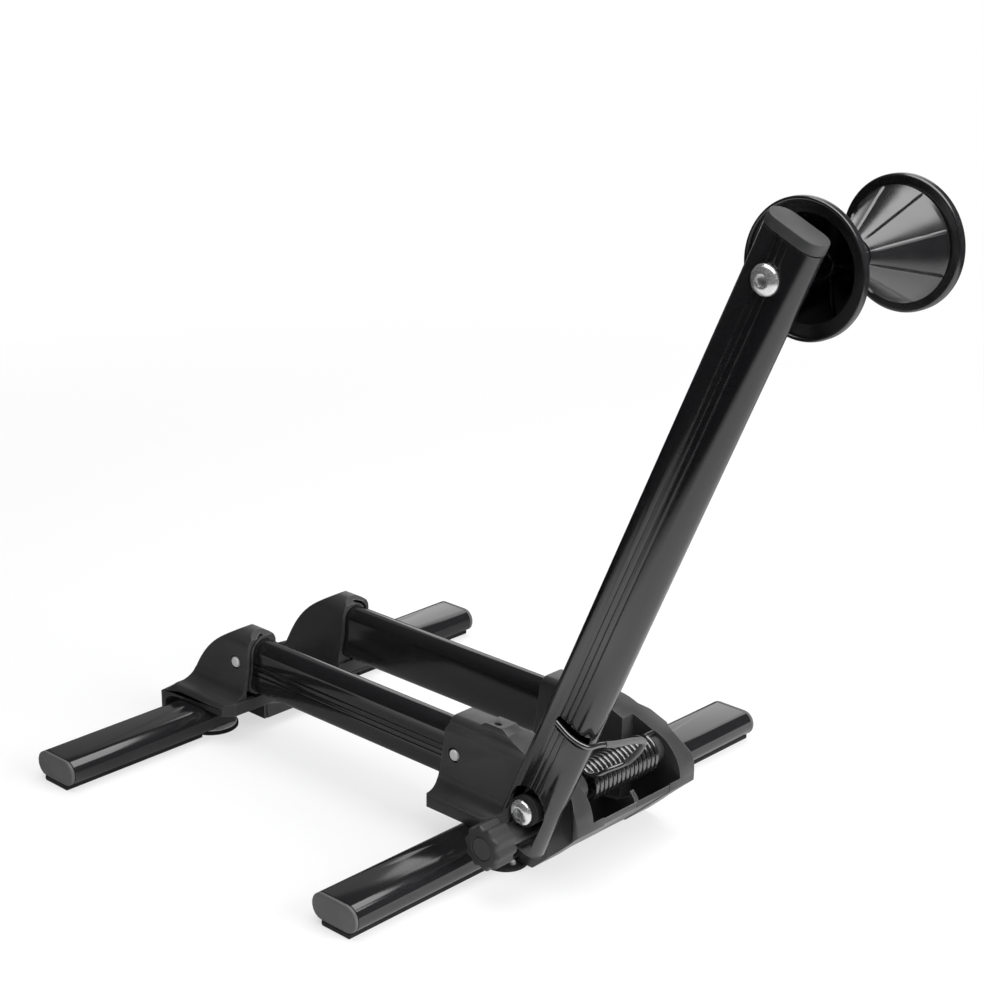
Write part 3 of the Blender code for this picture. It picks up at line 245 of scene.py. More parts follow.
finishes = {
    "anodised": {"dark": (0.010, 0.010, 0.011), "light": (0.015, 0.015, 0.016), "worn": (0.060, 0.060, 0.062),
                 "rough": (0.115, 0.150), "lines": 4200.0, "drawn": 60.0, "relief": 0.007,
                 "gloss": 0.72, "ior": 1.6},
    # the moulding's pale edge colour is partly wear and partly a painted highlight along its edges
    "moulded": {"dark": (0.034, 0.034, 0.035), "light": (0.045, 0.045, 0.046), "worn": (0.160, 0.160, 0.161),
                "rough": (0.32, 0.40), "grain": 2300.0, "relief": 0.12},
    "plugged": {"dark": (0.044, 0.044, 0.045), "light": (0.058, 0.058, 0.059), "worn": (0.110, 0.110, 0.110),
                "rough": (0.48, 0.60), "grain": 1800.0, "relief": 0.25},
    "rolled": {"dark": (0.009, 0.009, 0.010), "light": (0.014, 0.014, 0.015), "worn": (0.030, 0.030, 0.031),
               "rough": (0.20, 0.27), "grain": 900.0, "relief": 0.06, "gloss": 1.0, "ior": 1.6},
    "gripped": {"dark": (0.028, 0.028, 0.028), "light": (0.040, 0.040, 0.040), "worn": (0.090, 0.090, 0.090),
                "rough": (0.42, 0.55), "grain": 1500.0, "relief": 0.25},
    "rubber": {"dark": (0.010, 0.010, 0.010), "light": (0.018, 0.018, 0.018), "worn": (0.040, 0.040, 0.040),
               "rough": (0.70, 0.90), "grain": 1500.0, "relief": 0.45},
    "spring": {"dark": (0.012, 0.012, 0.013), "light": (0.020, 0.020, 0.021), "worn": (0.060, 0.059, 0.058),
               "rough": (0.15, 0.22), "grain": 1400.0, "relief": 0.04, "gloss": 1.0, "ior": 1.9},
    "screwed": {"dark": (0.70, 0.70, 0.70), "light": (0.90, 0.90, 0.90), "worn": (0.95, 0.95, 0.95),
                "rough": (0.30, 0.42), "grain": 700.0, "relief": 0.05},
    "plated": {"dark": (0.74, 0.74, 0.75), "light": (0.88, 0.88, 0.88),
               "rough": (0.18, 0.30), "grain": 500.0},
    "sleeved": {"dark": (0.085, 0.085, 0.086), "light": (0.105, 0.105, 0.106), "worn": (0.150, 0.150, 0.150),
                "rough": (0.45, 0.55), "grain": 1600.0, "relief": 0.10},
    "darkSteel": {"dark": (0.030, 0.030, 0.031), "light": (0.048, 0.048, 0.049), "worn": (0.20, 0.20, 0.20),
                  "rough": (0.28, 0.42), "grain": 900.0, "relief": 0.10},
}
barTurns = {"X": (0, 0, math.pi / 2), "Y": (0, 0, 0), "arm": (armLean + math.pi / 2, 0, 0)}


def coloured(tree, shader, look, cloud, wearAndHighlightRadius, patches):
    # soft clouds of two colours, and paler edges: wear, and on the moulding partly a painted highlight
    colour = blended(tree, ranged(tree, cloud, 0, 1), look["dark"], look["light"])
    colour = blended(tree, edgeWearAndHighlight(tree, wearAndHighlightRadius, pattern(tree, patches)), colour, look["worn"])
    tree.links.new(colour, shader.inputs["Base Color"])


def barFinish(name, direction):
    # black anodised extrusion: fine lines run along the bar, which is Y before the turn
    look = finishes["anodised"]
    material, tree, shader = newFinish(name, look["dark"], 0.2, specular=look["gloss"], ior=look["ior"])
    turn = barTurns[direction]
    lines = pattern(tree, look["lines"], (1, look["drawn"], 1), turn, 4.0)
    coloured(tree, shader, look, pattern(tree, 26.0, (1, 3, 1), turn, 4.0), 0.0004, 160.0)
    tree.links.new(ranged(tree, lines, *look["rough"]), shader.inputs["Roughness"])
    bumped(tree, shader, lines, look["relief"], 0.00005)
    return material


def grainFinish(name, key, metallic=0.0, wearAndHighlightRadius=0.0004):
    # moulded or coated surface with an even fine grain
    look = finishes[key]
    gloss, ior = look.get("gloss", 0.5), look.get("ior", 1.5)
    material, tree, shader = newFinish(name, look["dark"], 0.5, metallic, gloss, ior)
    coloured(tree, shader, look, pattern(tree, 38.0, detail=5.0), wearAndHighlightRadius, 210.0)
    tree.links.new(ranged(tree, pattern(tree, 75.0), *look["rough"]), shader.inputs["Roughness"])
    bumped(tree, shader, pattern(tree, look["grain"], detail=2.0), look["relief"], 0.00008)
    return material


def platedFinish(name):
    look = finishes["plated"]
    material, tree, shader = newFinish(name, look["light"], 0.15, 0.8)
    cloud = pattern(tree, look["grain"], detail=4.0)
    colour = blended(tree, ranged(tree, cloud, 0, 1), look["dark"], look["light"])
    tree.links.new(colour, shader.inputs["Base Color"])
    tree.links.new(ranged(tree, cloud, *look["rough"]), shader.inputs["Roughness"])
    return material


materials = {
    "rail": barFinish("anodisedRail", "Y"),
    "leg": barFinish("anodisedLeg", "X"),
    "arm": barFinish("anodisedArm", "arm"),
    # its wider edge mask paints pale edges that are partly wear and partly a painted highlight
    "moulding": grainFinish("blackMoulding", "moulded", 0.0, 0.0008),
    "plug": grainFinish("greyMoulding", "plugged"),
    "roller": grainFinish("rollerMoulding", "rolled"),
    "rubber": grainFinish("blackRubber", "rubber"),
    "spring": grainFinish("blackWire", "spring", 0.0, 0.0003),
    "sleeve": grainFinish("wireSleeve", "sleeved", 0.0, 0.0003),
    "grip": grainFinish("knobMoulding", "gripped"),
    "legPlug": grainFinish("greyPlug", "sleeved"),
    "screw": grainFinish("brightScrew", "screwed", 0.25),
    "darkSteel": grainFinish("blackenedSteel", "darkSteel", 0.9),
    "chrome": platedFinish("brightPlate"),
}

print("stage 3: shaping tools")


def fromPoints(name, points, faces):
    mesh = bpy.data.meshes.new(name)
    mesh.from_pydata([tuple(point) for point in points], [], faces)
    return linked(name, mesh)


def meshMade(item):
    # what a curve or the modifiers make
    bpy.context.view_layer.update()
    graph = bpy.context.evaluated_depsgraph_get()
    return bpy.data.meshes.new_from_object(item.evaluated_get(graph))


def settled(item):
    # what the modifiers make becomes the mesh, and they go
    mesh = meshMade(item)
    item.modifiers.clear()
    item.data = mesh
    return item


def mended(item, merge=0.000001, fromSolid=False):
    # doubles merged; a CAD solid gets whole flats and keeps its faces, any other mesh turns outwards
    work = bmesh.new()
    work.from_mesh(item.data)
    bmesh.ops.remove_doubles(work, verts=work.verts, dist=merge)
    if fromSolid:
        bmesh.ops.dissolve_limit(work, angle_limit=math.radians(0.5), verts=work.verts, edges=work.edges)
    else:
        bmesh.ops.recalc_face_normals(work, faces=work.faces)
    work.to_mesh(item.data)
    work.free()
    return item


def placed(item, matrix):
    item.data.transform(matrix)
    item.data.update()
    return item


def softened(item, width, angle=35, segments=3):
    bevel = item.modifiers.new("soft edges", "BEVEL")
    bevel.limit_method = "ANGLE"
    bevel.angle_limit = math.radians(angle)
    bevel.width = width
    bevel.segments = segments
    bevel.use_clamp_overlap = True
    return settled(item)


def smoothed(item, angle=34):
    item.data.shade_smooth()
    item.data.set_sharp_from_angle(angle=math.radians(angle))
    return item


def fit(item, body, finish, *stands):
    # a finished piece in its finish, with the body that it moves with and the nodes that it stands for
    item.data.materials.clear()
    item.data.materials.append(materials[finish])
    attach(item, body)
    if stands:
        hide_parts(*stands)
    return item


def refined(node, name, width=0.0003):
    # a CAD node's solid with its sharp edges softened
    item = mended(linked(name, nodes[node].data.copy()), 0.000002, fromSolid=True)
    return smoothed(softened(item, width))


def lathe(name, profile, steps=64, radiusAt=None):
    # rings of (radius, height) about Z in the order of the profile; radiusAt shapes each ring
    points = []
    rings = []
    for radius, height in profile:
        if radius == 0:
            rings.append([len(points)])
            points.append((0, 0, height))
            continue
        rings.append(list(range(len(points), len(points) + steps)))
        for i in range(steps):
            angle = 2 * math.pi * i / steps
            reach = radiusAt(radius, height, angle) if radiusAt else radius
            points.append((reach * math.cos(angle), reach * math.sin(angle), height))
    faces = []
    for first, second in zip(rings, rings[1:]):
        for i in range(steps):
            j = (i + 1) % steps
            if len(first) == 1:
                faces.append((first[0], second[i], second[j]))
            elif len(second) == 1:
                faces.append((first[i], second[0], first[j]))
            else:
                faces.append((first[i], second[i], second[j], first[j]))
    return mended(fromPoints(name, points, faces))


def bend(centre, radius, start, end, steps):
    angles = [math.radians(start + (end - start) * i / steps) for i in range(steps + 1)]
    return [(centre[0] + radius * math.cos(angle), centre[1] + radius * math.sin(angle)) for angle in angles]


def mirrored(points, sign):
    return [(sign * u, v) for u, v in points]


def cutBy(item, cutter, operation="DIFFERENCE"):
    boolean = item.modifiers.new("cut", "BOOLEAN")
    boolean.operation = operation
    boolean.solver = "EXACT"
    boolean.object = cutter
    settled(item)
    bpy.data.objects.remove(cutter, do_unlink=True)
    return item


armPlace = Matrix.Translation(Vector((0, *pivot))) @ Matrix.Rotation(armLean, 4, "X")


def onArm(x, reach, sign):
    # +Z turned to the side of the sign, at x across the arm and so far up it from the pivot
    return armPlace @ Matrix.Translation(Vector((x, 0, reach))) @ Matrix.Rotation(sign * math.pi / 2, 4, "Y")


print("stage 4: bars, plugs and housings")

barEdge = 0.00022
plainPieces = {
    # piece: node, body, finish, edge softening
    "arm": ("arm", "swing_arm", "arm", 0.00028),
    "armCap": ("arm_plug", "swing_arm", "plug", 0.0014),
    "armHub": ("arm_hub", "swing_arm", "moulding", 0.0003),
    "lockBarrel": ("lock_barrel", "swing_arm", "moulding", 0.0004),
    "axleNut": ("axle_nut", "swing_arm", "chrome", 0.0004),
    "axleSpacer": ("axle_spacer", "swing_arm", "darkSteel", 0.0003),
    "pivotShaft": ("pivot_shaft", "base", "darkSteel", 0.0003),
    "pivotWasher": ("pivot_washer", "base", "rubber", 0.0002),
}
legPieces = {
    # start of the node's name: piece, whether it turns with the leg, finish, edge softening
    "leg_": ("leg", True, "leg", barEdge),
    "leg_plug_": ("legPlug", True, "legPlug", 0.0005),
    "leg_pad_": ("legPad", True, "rubber", 0.0003),
    "leg_foot_": ("foot", False, "rubber", 0.0003),
    "leg_washer_": ("washer", False, "screw", 0.00012),
    "leg_pin_": ("legPin", False, "darkSteel", 0.0003),
}
legBar = {"width": 0.0370, "cadWidth": 0.0400, "shift": {"front": 0.0, "rear": 0.0012}}


def narrowed(item, end):
    # the leg bar drawn in across its width, which is Y
    share = legBar["width"] / legBar["cadWidth"]
    for vertex in item.data.vertices:
        vertex.co.y = ends[end] + legBar["shift"][end] + (vertex.co.y - ends[end]) * share
    return smoothed(item)


def addSidePieces():
    for side in sides:
        fit(refined("rail_" + side, "rail." + side, barEdge), "base", "rail", "rail_" + side)
        for end in ends:
            tag = end + "_" + side
            for start, (name, onLeg, finish, width) in legPieces.items():
                piece = refined(start + tag, "%s.%s.%s" % (name, end, side), width)
                if name in ("leg", "legPlug"):
                    narrowed(piece, end)
                fit(piece, tag + "_leg" if onLeg else "base", finish, start + tag)


housing = {
    "railX": 0.0420, "railZ": 0.0525, "barWidth": 0.0400, "barThickness": 0.0170, "gap": 0.0003,
    "bayX": 0.0310, "cheekX": 0.0555, "bottom": 0.0030, "crease": 0.0006,
    "roomTop": 0.0210, "roomInner": 0.0345, "roomRound": 0.0060, "screwZ": 0.0553,
    "screwRecess": (0.0050, 0.0018), "screwBore": 0.0023, "pinX": 0.0550, "pinBore": 0.0043,
    "pinReach": (0.0120, 0.0303), "saddle": (0.0050, 0.0060), "collar": (0.0017, 0.0035),
    "soft": 0.0008, "softAngle": 30, "mouthRun": 0.0220,
}
frontHousing = {
    "skirtX": 0.0715, "skirtZ": 0.0295, "skirtRound": 0.0040, "rise": 0.0085, "facet": (0.0070, 0.0060),
    "topZ": 0.0780, "topRound": 0.0110, "rearY": 0.1915, "footY": 0.1965, "edgeBend": (0.1935, 0.0520),
    "browTop": (0.2070, 0.0780), "browFoot": (0.2535, 0.0300), "bulge": 0.0062,
    "endY": 0.2740, "noseRound": 0.0185, "noseZ": 0.0100, "setBack": 0.0030, "planRound": 0.0095,
    "droop": (0.0560, 0.2545, 0.0050),  # where it starts across and along, and how far it drops
    "legY": ends["front"], "roomReach": 0.0300, "socketEnd": 0.2175, "screwY": 0.2060, "collarDepth": 0.0085,
    "pocketZ": 0.0300, "pocketBend": 0.0360, "pocketInner": 0.0410, "pocketDepth": 0.0080,
    "floorZ": 0.0080, "floorRear": 0.2010, "floorThick": 0.0045, "saddleZ": 0.0190, "flangeHigh": 0.0080,
}
rearHousing = {
    "skirtX": 0.0680, "skirtZ": 0.0290, "skirtRound": 0.0020, "rise": 0.0105, "skirtRear": -0.0340,
    "crownZ": 0.0790, "crownRound": 0.0045, "shoulderZ": 0.0712, "shoulderRise": 0.0024, "ledge": 0.0034,
    "topFront": 0.0072, "footFront": 0.0128, "topBend": -0.0400, "arcCentre": (-0.0735, 0.0385),
    "endY": -0.1015, "heelZ": 0.0350, "heelY": -0.0665, "cornerRound": 0.0016,
    "hump": (-0.0165, -0.0400), "humpRise": 0.0032, "humpX": (0.0370, 0.0495), "hole": 0.0019,
    "legY": ends["rear"], "roomReach": 0.0212, "socketEnd": -0.0220, "screwY": -0.0004, "collarDepth": 0.0040,
    "floorThick": 0.0030, "floorLift": 0.0006, "saddleZ": 0.0300, "bayFront": -0.0620, "bayWall": 0.0410,
    "bossRadius": 0.0092, "bossEnd": {"left": 0.0308, "right": 0.0344},
    "shaftBore": 0.0053, "shaftReach": {"left": (0.0200, 0.0570), "right": (0.0200, 0.0503)},
    "scoop": (0.0665, -0.0880, 0.0150, 0.0110), "flangeTop": 0.0360,
}
wallSeam = 0.00015
flangeThick = 0.0016
past = 0.0010  # how far a cut runs past a face
clearZ = 0.0900  # above both housings


def prismOf(name, plane, outline, low, high):
    # a flat outline in one plane, filled and carried along the third axis
    curve = bpy.data.curves.new(name, "CURVE")
    curve.dimensions = "2D"
    curve.fill_mode = "BOTH"
    curve.extrude = abs(high - low) / 2
    spline = curve.splines.new("POLY")
    spline.points.add(len(outline) - 1)
    spline.use_cyclic_u = True
    for point, spot in zip(spline.points, outline):
        point.co = (*spot, 0, 1)
    flat = linked(name, curve)
    mesh = meshMade(flat)
    bpy.data.objects.remove(flat, do_unlink=True)
    third = -1 if plane == "XZ" else 1  # keeps the turn right-handed
    turn = Matrix([[axis == plane[0], axis == plane[1], third * (axis not in plane)] for axis in "XYZ"])
    middle = Vector([(low + high) / 2 * (axis not in plane) for axis in "XYZ"])
    mesh.transform(Matrix.Translation(middle) @ turn.to_4x4())
    return mended(linked(name, mesh))


def cutPrism(body, plane, outline, reach, operation="DIFFERENCE"):
    return cutBy(body, prismOf("cutter", plane, outline, *sorted(reach)), operation)


def cutPeg(body, radius, reach, place, steps=40, operation="DIFFERENCE"):
    low, high = reach
    profile = [(0, high), (radius, high), (radius, low), (0, low)]
    return cutBy(body, placed(lathe("cutter", profile, steps), place), operation)


def between(sign, near, far):
    return sorted((sign * near, sign * far))


def outwardsX(sign, y, z):
    # height along Z becomes height away from the middle plane
    return Matrix.Translation(Vector((0, y, z))) @ Matrix.Rotation(sign * math.pi / 2, 4, "Y")


def carved(name, sign, look, section, side, plan, rear, front):
    # one section carried along Y, then cut to its outline from the side and from above
    body = prismOf(name, "XZ", section, rear - 4 * past, front + 4 * past)
    cutPrism(body, "YZ", side, between(sign, 0, look["skirtX"] + 4 * past), "INTERSECT")
    return cutPrism(body, "XY", plan, (0, clearZ), "INTERSECT")


def barOutline(grow, top, low, steps):
    # the rail's upper and lower rounding as arcs about its middle, grown outwards
    radius = housing["barThickness"] / 2 + grow
    reach = (housing["barWidth"] - housing["barThickness"]) / 2
    return bend((0, reach), radius, *top, steps) + bend((0, -reach), radius, *low, steps)


def flareOut(look):
    # a fine crease, the hollow below it, and the round top edge of the skirt
    start = housing["cheekX"] + housing["crease"]
    edge = look["skirtX"] - look["skirtRound"]
    high = look["skirtZ"] + look["rise"]
    points = [(housing["cheekX"], high + 0.0020), (start, high + 0.0008)]
    for u, v in bend((0, 0), 1, 180, 270, 12):
        points.append((edge + u * (edge - start), high + v * look["rise"]))
    return points + bend((edge, look["skirtZ"] - look["skirtRound"]), look["skirtRound"], 90, 0, 6)


def sectionWith(top, look, sign):
    # from the foot of the inner wall over the top to the foot of the skirt
    foot = housing["bottom"]
    return mirrored([(housing["bayX"], foot)] + top + flareOut(look) + [(look["skirtX"], foot)], sign)


def frontSection(sign):
    look = frontHousing
    radius = look["topRound"]
    top = bend((housing["bayX"] + radius, look["topZ"] - radius), radius, 180, 90, 10)
    top += bend((housing["cheekX"] - radius, look["topZ"] - radius), radius, 90, 0, 10)
    return sectionWith(top, look, sign)


def rearSection(sign):
    look = rearHousing
    radius = look["crownRound"]
    cheek, shoulder = housing["cheekX"], look["shoulderZ"]
    ledge = cheek - look["ledge"]
    top = bend((housing["bayX"] + radius, look["crownZ"] - radius), radius, 180, 90, 6)
    top += bend((ledge - radius, look["crownZ"] - radius), radius, 90, 5, 6)
    top += [(ledge, shoulder + look["shoulderRise"]), (cheek - 0.0004, shoulder), (cheek, shoulder - 0.0006)]
    return sectionWith(top, look, sign)


def frontSide():
    look = frontHousing
    radius = look["noseRound"]
    points = [(look["footY"], housing["bottom"]), (look["endY"] - look["setBack"], housing["bottom"])]
    points += bend((look["endY"] - radius, look["noseZ"]), radius, -14, 86, 14)
    low, high = Vector(look["browFoot"]), Vector(look["browTop"])
    across = Vector((high.y - low.y, low.x - high.x)).normalized()
    for i in range(15):
        rise = look["bulge"] * math.sin(math.pi * i / 14)
        points.append(tuple(low.lerp(high, i / 14) + across * rise))
    points += [(look["rearY"] + look["topRound"] / 2, look["topZ"])]
    points += [(look["rearY"], look["topZ"] - look["topRound"] / 3), look["edgeBend"]]
    points += [(look["footY"] + 0.0015, look["skirtZ"] + 0.0003), (look["footY"], look["skirtZ"] - 0.0003)]
    return points


def frontPlan(sign):
    look = frontHousing
    inner = housing["bayX"] - past
    facetX = look["skirtX"] - look["facet"][0]
    radius = look["planRound"]
    points = [(inner, look["rearY"] - past), (facetX, look["rearY"] - past), (facetX, look["footY"] - 0.0003)]
    points += [(look["skirtX"], look["footY"] + look["facet"][1])]
    points += bend((look["skirtX"] - radius, look["endY"] - radius), radius, 0, 90, 12)
    return mirrored(points + [(inner, look["endY"])], sign)


def rearSide():
    look = rearHousing
    radius = look["arcCentre"][0] - look["endY"]
    points = [(look["heelY"], housing["bottom"]), (look["footFront"], housing["bottom"])]
    points += [(look["footFront"], look["skirtZ"] + 0.0060), (look["topFront"] + 0.0022, 0.0555)]
    points += [(look["topFront"], look["shoulderZ"]), (look["topFront"] - 0.0022, look["crownZ"])]
    points += [(look["topBend"], look["crownZ"]), (look["topBend"] - 0.0100, look["crownZ"] - 0.0030)]
    points += bend(look["arcCentre"], radius, 98, 180, 14) + [(look["endY"], look["heelZ"])]
    return points


def rearPlan(sign):
    look = rearHousing
    inner = housing["bayX"] - past
    radius = look["cornerRound"]
    cheek, skirt = housing["cheekX"], look["skirtX"]
    front = look["footFront"] + past
    points = [(inner, front), (skirt - 0.0030, front), (skirt, look["footFront"] - 0.0018)]
    points += [(skirt, look["skirtRear"]), (cheek, look["skirtRear"] - (skirt - cheek))]
    points += bend((cheek - radius, look["endY"] + radius), radius, 0, -90, 5)
    return mirrored(points + [(inner, look["endY"])], sign)


def socketAndScrew(body, sign, look, mouthY, direction):
    # the socket of the rail, a step round its mouth, and the recess and bore of the cheek screw
    railX, railZ = housing["railX"], housing["railZ"]
    outside = mouthY - direction * housing["mouthRun"]
    opening = barOutline(housing["gap"], (0, 180), (180, 360), 14)
    opening = [(sign * railX + u, railZ + v) for u, v in opening]
    cutPrism(body, "XZ", opening, (outside, look["socketEnd"]))
    near, far = (barOutline(grow, (90, 0), (0, -90), 10) for grow in housing["collar"])
    ring = [(sign * (railX + u), railZ + v) for u, v in far + near[::-1]]
    cutPrism(body, "XZ", ring, (outside, mouthY + direction * look["collarDepth"]))
    radius, depth = housing["screwRecess"]
    bore, face = housing["screwBore"], housing["cheekX"]
    profile = [(0, face + past), (radius, face + past), (radius, face - depth), (bore, face - depth)]
    profile += [(bore, railX), (0, railX)]
    cutBy(body, placed(lathe("screwSeat", profile, 40), outwardsX(sign, look["screwY"], housing["screwZ"])))


def legRoom(body, sign, legY, openY, closedY):
    # the chamber that the leg turns in, and the bore of its pin
    turn = 1 if closedY > openY else -1
    corner = housing["roomRound"]
    low, top = housing["bottom"] - past, housing["roomTop"]
    points = [(openY, low), (closedY, low)]
    points += [(closedY - turn * (corner - u), top - corner + v) for u, v in bend((0, 0), corner, 0, 90, 8)]
    points.append((openY, top))
    cutPrism(body, "YZ", points, between(sign, housing["roomInner"], frontHousing["skirtX"] + past))
    place = Matrix.Translation(Vector((sign * housing["pinX"], legY, 0)))
    cutPeg(body, housing["pinBore"], housing["pinReach"], place)


def addFloorHalf(body, sign, outline, lip, middleZ, saddleY, saddleZ):
    # half of the floor under the tyre, with its upright flange and a saddle across it
    inner = housing["bayX"] + 0.00125
    near = wallSeam + housing["gap"]
    cutPrism(body, "YZ", outline, between(sign, near, inner), "UNION")
    cutPrism(body, "YZ", lip, between(sign, wallSeam, wallSeam + flangeThick), "UNION")
    near += housing["gap"]
    width, sag = housing["saddle"]
    points = [(near, middleZ), (near, saddleZ - sag), (housing["bayX"] * 0.35, saddleZ - sag)]
    points += [(inner, saddleZ), (inner, middleZ)]
    cutPrism(body, "XZ", mirrored(points, sign), (saddleY, saddleY + width), "UNION")


def cutFlarePocket(body, sign):
    # the hollow in the rear face, between the collar of the rail and the flare
    look = frontHousing
    collar = housing["barThickness"] / 2 + 0.0020
    outer = housing["railX"] + collar + 0.0015
    lowEnd = housing["railZ"] - (housing["barWidth"] - housing["barThickness"]) / 2
    pocket = [(outer - 0.0009, housing["railZ"]), (outer, look["pocketBend"]), (outer, look["pocketZ"])]
    pocket += [(look["pocketInner"], look["pocketZ"]), (look["pocketInner"], lowEnd - collar)]
    pocket += bend((housing["railX"], lowEnd), collar, -90, 0, 10)
    cutPrism(body, "XZ", mirrored(pocket, sign), (look["rearY"] - past, look["footY"] + look["pocketDepth"]))


def drooped(body):
    # the outer front corner of the skirt falls away in a round
    fromX, fromY, drop = frontHousing["droop"]
    foot, run = 0.0100, 0.0060
    for vertex in body.data.vertices:
        place = vertex.co
        outer = max(0.0, (abs(place.x) - fromX) / (frontHousing["skirtX"] - fromX))
        ahead = min(1.0, max(0.0, (place.y - fromY) / run))
        height = max(0.0, (place.z - foot) / (frontHousing["skirtZ"] - foot))
        place.z -= drop * outer ** 2 * ahead * height
    return body


def frontBody(name, sign):
    look = frontHousing
    outlines = (frontSection(sign), frontSide(), frontPlan(sign))
    body = carved(name, sign, look, *outlines, look["rearY"], look["endY"])
    step, lipZ = look["floorRear"] + past, housing["roomTop"] + 0.0005
    behind, ahead = look["rearY"] - past, look["endY"] + past
    floorZ = look["floorZ"] - 0.0003
    relief = [(behind, 0.002), (ahead, 0.002), (ahead, floorZ), (step, floorZ), (step, lipZ), (behind, lipZ)]
    cutPrism(body, "YZ", relief, between(sign, housing["bayX"] - past, housing["roomInner"] + past))
    legRoom(body, sign, look["legY"], look["rearY"] - 4 * past, look["legY"] + look["roomReach"])
    socketAndScrew(body, sign, look, look["rearY"], 1)
    cutFlarePocket(body, sign)
    top = look["floorZ"] + look["floorThick"]
    rear, front = look["floorRear"], look["endY"] - look["noseRound"] + 0.006
    middleZ = (look["floorZ"] + top) / 2
    lipTop = top + look["flangeHigh"]
    lip = [(rear + 0.0025, middleZ), (front - past, middleZ), (front - past, top)]
    lip += [(front - look["flangeHigh"], lipTop), (rear + 0.0105, look["saddleZ"])]
    lip += [(rear + 0.0025, look["saddleZ"])]
    outline = [(rear, look["floorZ"]), (front, look["floorZ"]), (front, top), (rear, top)]
    addFloorHalf(body, sign, outline, lip, middleZ, rear, look["saddleZ"])
    return drooped(body)


def heelLine(lift):
    # the floor at the rear, from the front to the heel and up to the back, raised square to itself
    look = rearHousing
    low = housing["bottom"] + lift
    rise, run = look["heelZ"] - housing["bottom"], look["heelY"] - look["endY"]
    heel = look["heelY"] + lift * (math.hypot(rise, run) - run) / rise
    back = look["endY"] + look["floorLift"]
    return [(look["footFront"] - 0.0110, low), (heel, low), (back, low + rise * (heel - back) / run)]


def addHump(body, sign):
    # the raised lug on the crown, with its oval hole
    look = rearHousing
    base, high = look["crownZ"] - look["crownRound"], look["crownZ"] + look["humpRise"]
    front, rear = look["hump"]
    slope = look["humpRise"] * 1.5
    hump = [(front, base), (front, look["crownZ"]), (front - slope, high), (rear + slope, high)]
    hump += [(rear, look["crownZ"]), (rear, base)]
    cutPrism(body, "YZ", hump, between(sign, *look["humpX"]), "UNION")
    place = Matrix.Translation(Vector((sign * (look["humpX"][1] - 0.0036), (front + rear) / 2, high)))
    stretch = Matrix.Diagonal((1, 1.6, 1, 1))
    cutPeg(body, look["hole"], (-4 * past, past), place @ stretch, 24)


def rearBody(name, side, sign):
    look = rearHousing
    outlines = (rearSection(sign), rearSide(), rearPlan(sign))
    body = carved(name, sign, look, *outlines, look["endY"], look["footFront"])
    addHump(body, sign)
    legRoom(body, sign, look["legY"], look["footFront"] + 4 * past, look["legY"] - look["roomReach"])
    socketAndScrew(body, sign, look, look["topFront"] - 0.003, -1)
    lift, thick = look["floorLift"], look["floorThick"]
    outline = heelLine(lift) + heelLine(lift + thick)[::-1]
    front, heel, back = heelLine(lift + thick / 2)
    edge = back[0] + 0.0045
    lip = [front, heel, back, (back[0] + 0.0010, back[1] + 0.0040), (edge, back[1] + 0.0080)]
    lip += [(edge, look["flangeTop"] + 0.006), (edge + 0.0100, look["flangeTop"])]
    lip += [(look["heelY"], look["flangeTop"] - 0.002), (look["bayFront"], front[1] + 0.016)]
    lip.append((look["legY"], front[1] + 0.008))
    addFloorHalf(body, sign, outline, lip, front[1], look["legY"] - 0.0025, look["saddleZ"])
    top = heelLine(thick + 2 * lift)
    behind = look["endY"] - past
    bay = [(look["bayFront"], top[1][1]), (look["bayFront"], clearZ), (behind, clearZ)]
    bay += [(behind, top[2][1]), top[2], top[1]]
    cutPrism(body, "YZ", bay, between(sign, housing["bayX"] - past, look["bayWall"]))
    alongShaft = outwardsX(1, *pivot)
    bossReach = between(sign, look["bossEnd"][side], look["bayWall"] + past)
    cutPeg(body, look["bossRadius"], bossReach, alongShaft, 56, "UNION")
    cutPeg(body, look["shaftBore"], between(sign, *look["shaftReach"][side]), alongShaft)
    x, y, radius, low = look["scoop"]
    place = Matrix.Translation(Vector((sign * x, y, 0)))
    return cutPeg(body, radius, (low, clearZ), place, 72)


def addHousings():
    for side, sign in sides.items():
        for end in ends:
            name = "housing.%s.%s" % (end, side)
            body = frontBody(name, sign) if end == "front" else rearBody(name, side, sign)
            mended(body, 0.000005)
            softened(body, housing["soft"], housing["softAngle"])
            fit(smoothed(body, 30), "base", "moulding", "housing_%s_%s" % (end, side))


addHousings()
for piece, (node, body, finish, width) in plainPieces.items():
    fit(refined(node, piece, width), body, finish, node)
addSidePieces()

print("stage 5: screws, bolts and rivets")

roller = {
    "start": 0.0003, "end": 0.0460, "waist": 0.0090, "face": 0.0312, "rim": 0.0368, "rimWidth": 0.0052,
    "rimRound": 0.0016, "lip": 0.0021, "groove": 0.0016, "grooveRadius": 0.0300, "ridges": 8, "flat": 0.35,
    "ridgeHeight": 0.0010, "ridgeWidth": 0.00045, "wall": 0.0024, "hub": 0.0070, "hubEnd": 0.0300,
    "web": 0.0110, "bore": 0.0046, "ribs": 6, "ribWidth": 0.0018, "reach": 0.3752, "steps": 400,
}
faceEnd = roller["end"] - roller["rimWidth"] - roller["groove"]
bolt = {
    "steps": 56, "socketShare": 0.5652,
    # head radius, head height, shank radius, socket radius
    "axle_bolt": (0.0083, 0.0046, 0.0040, 0.0036), "pivot_bolt": (0.0078, 0.0042, 0.0028, 0.0033),
    "axleSeat": -0.0766,
}


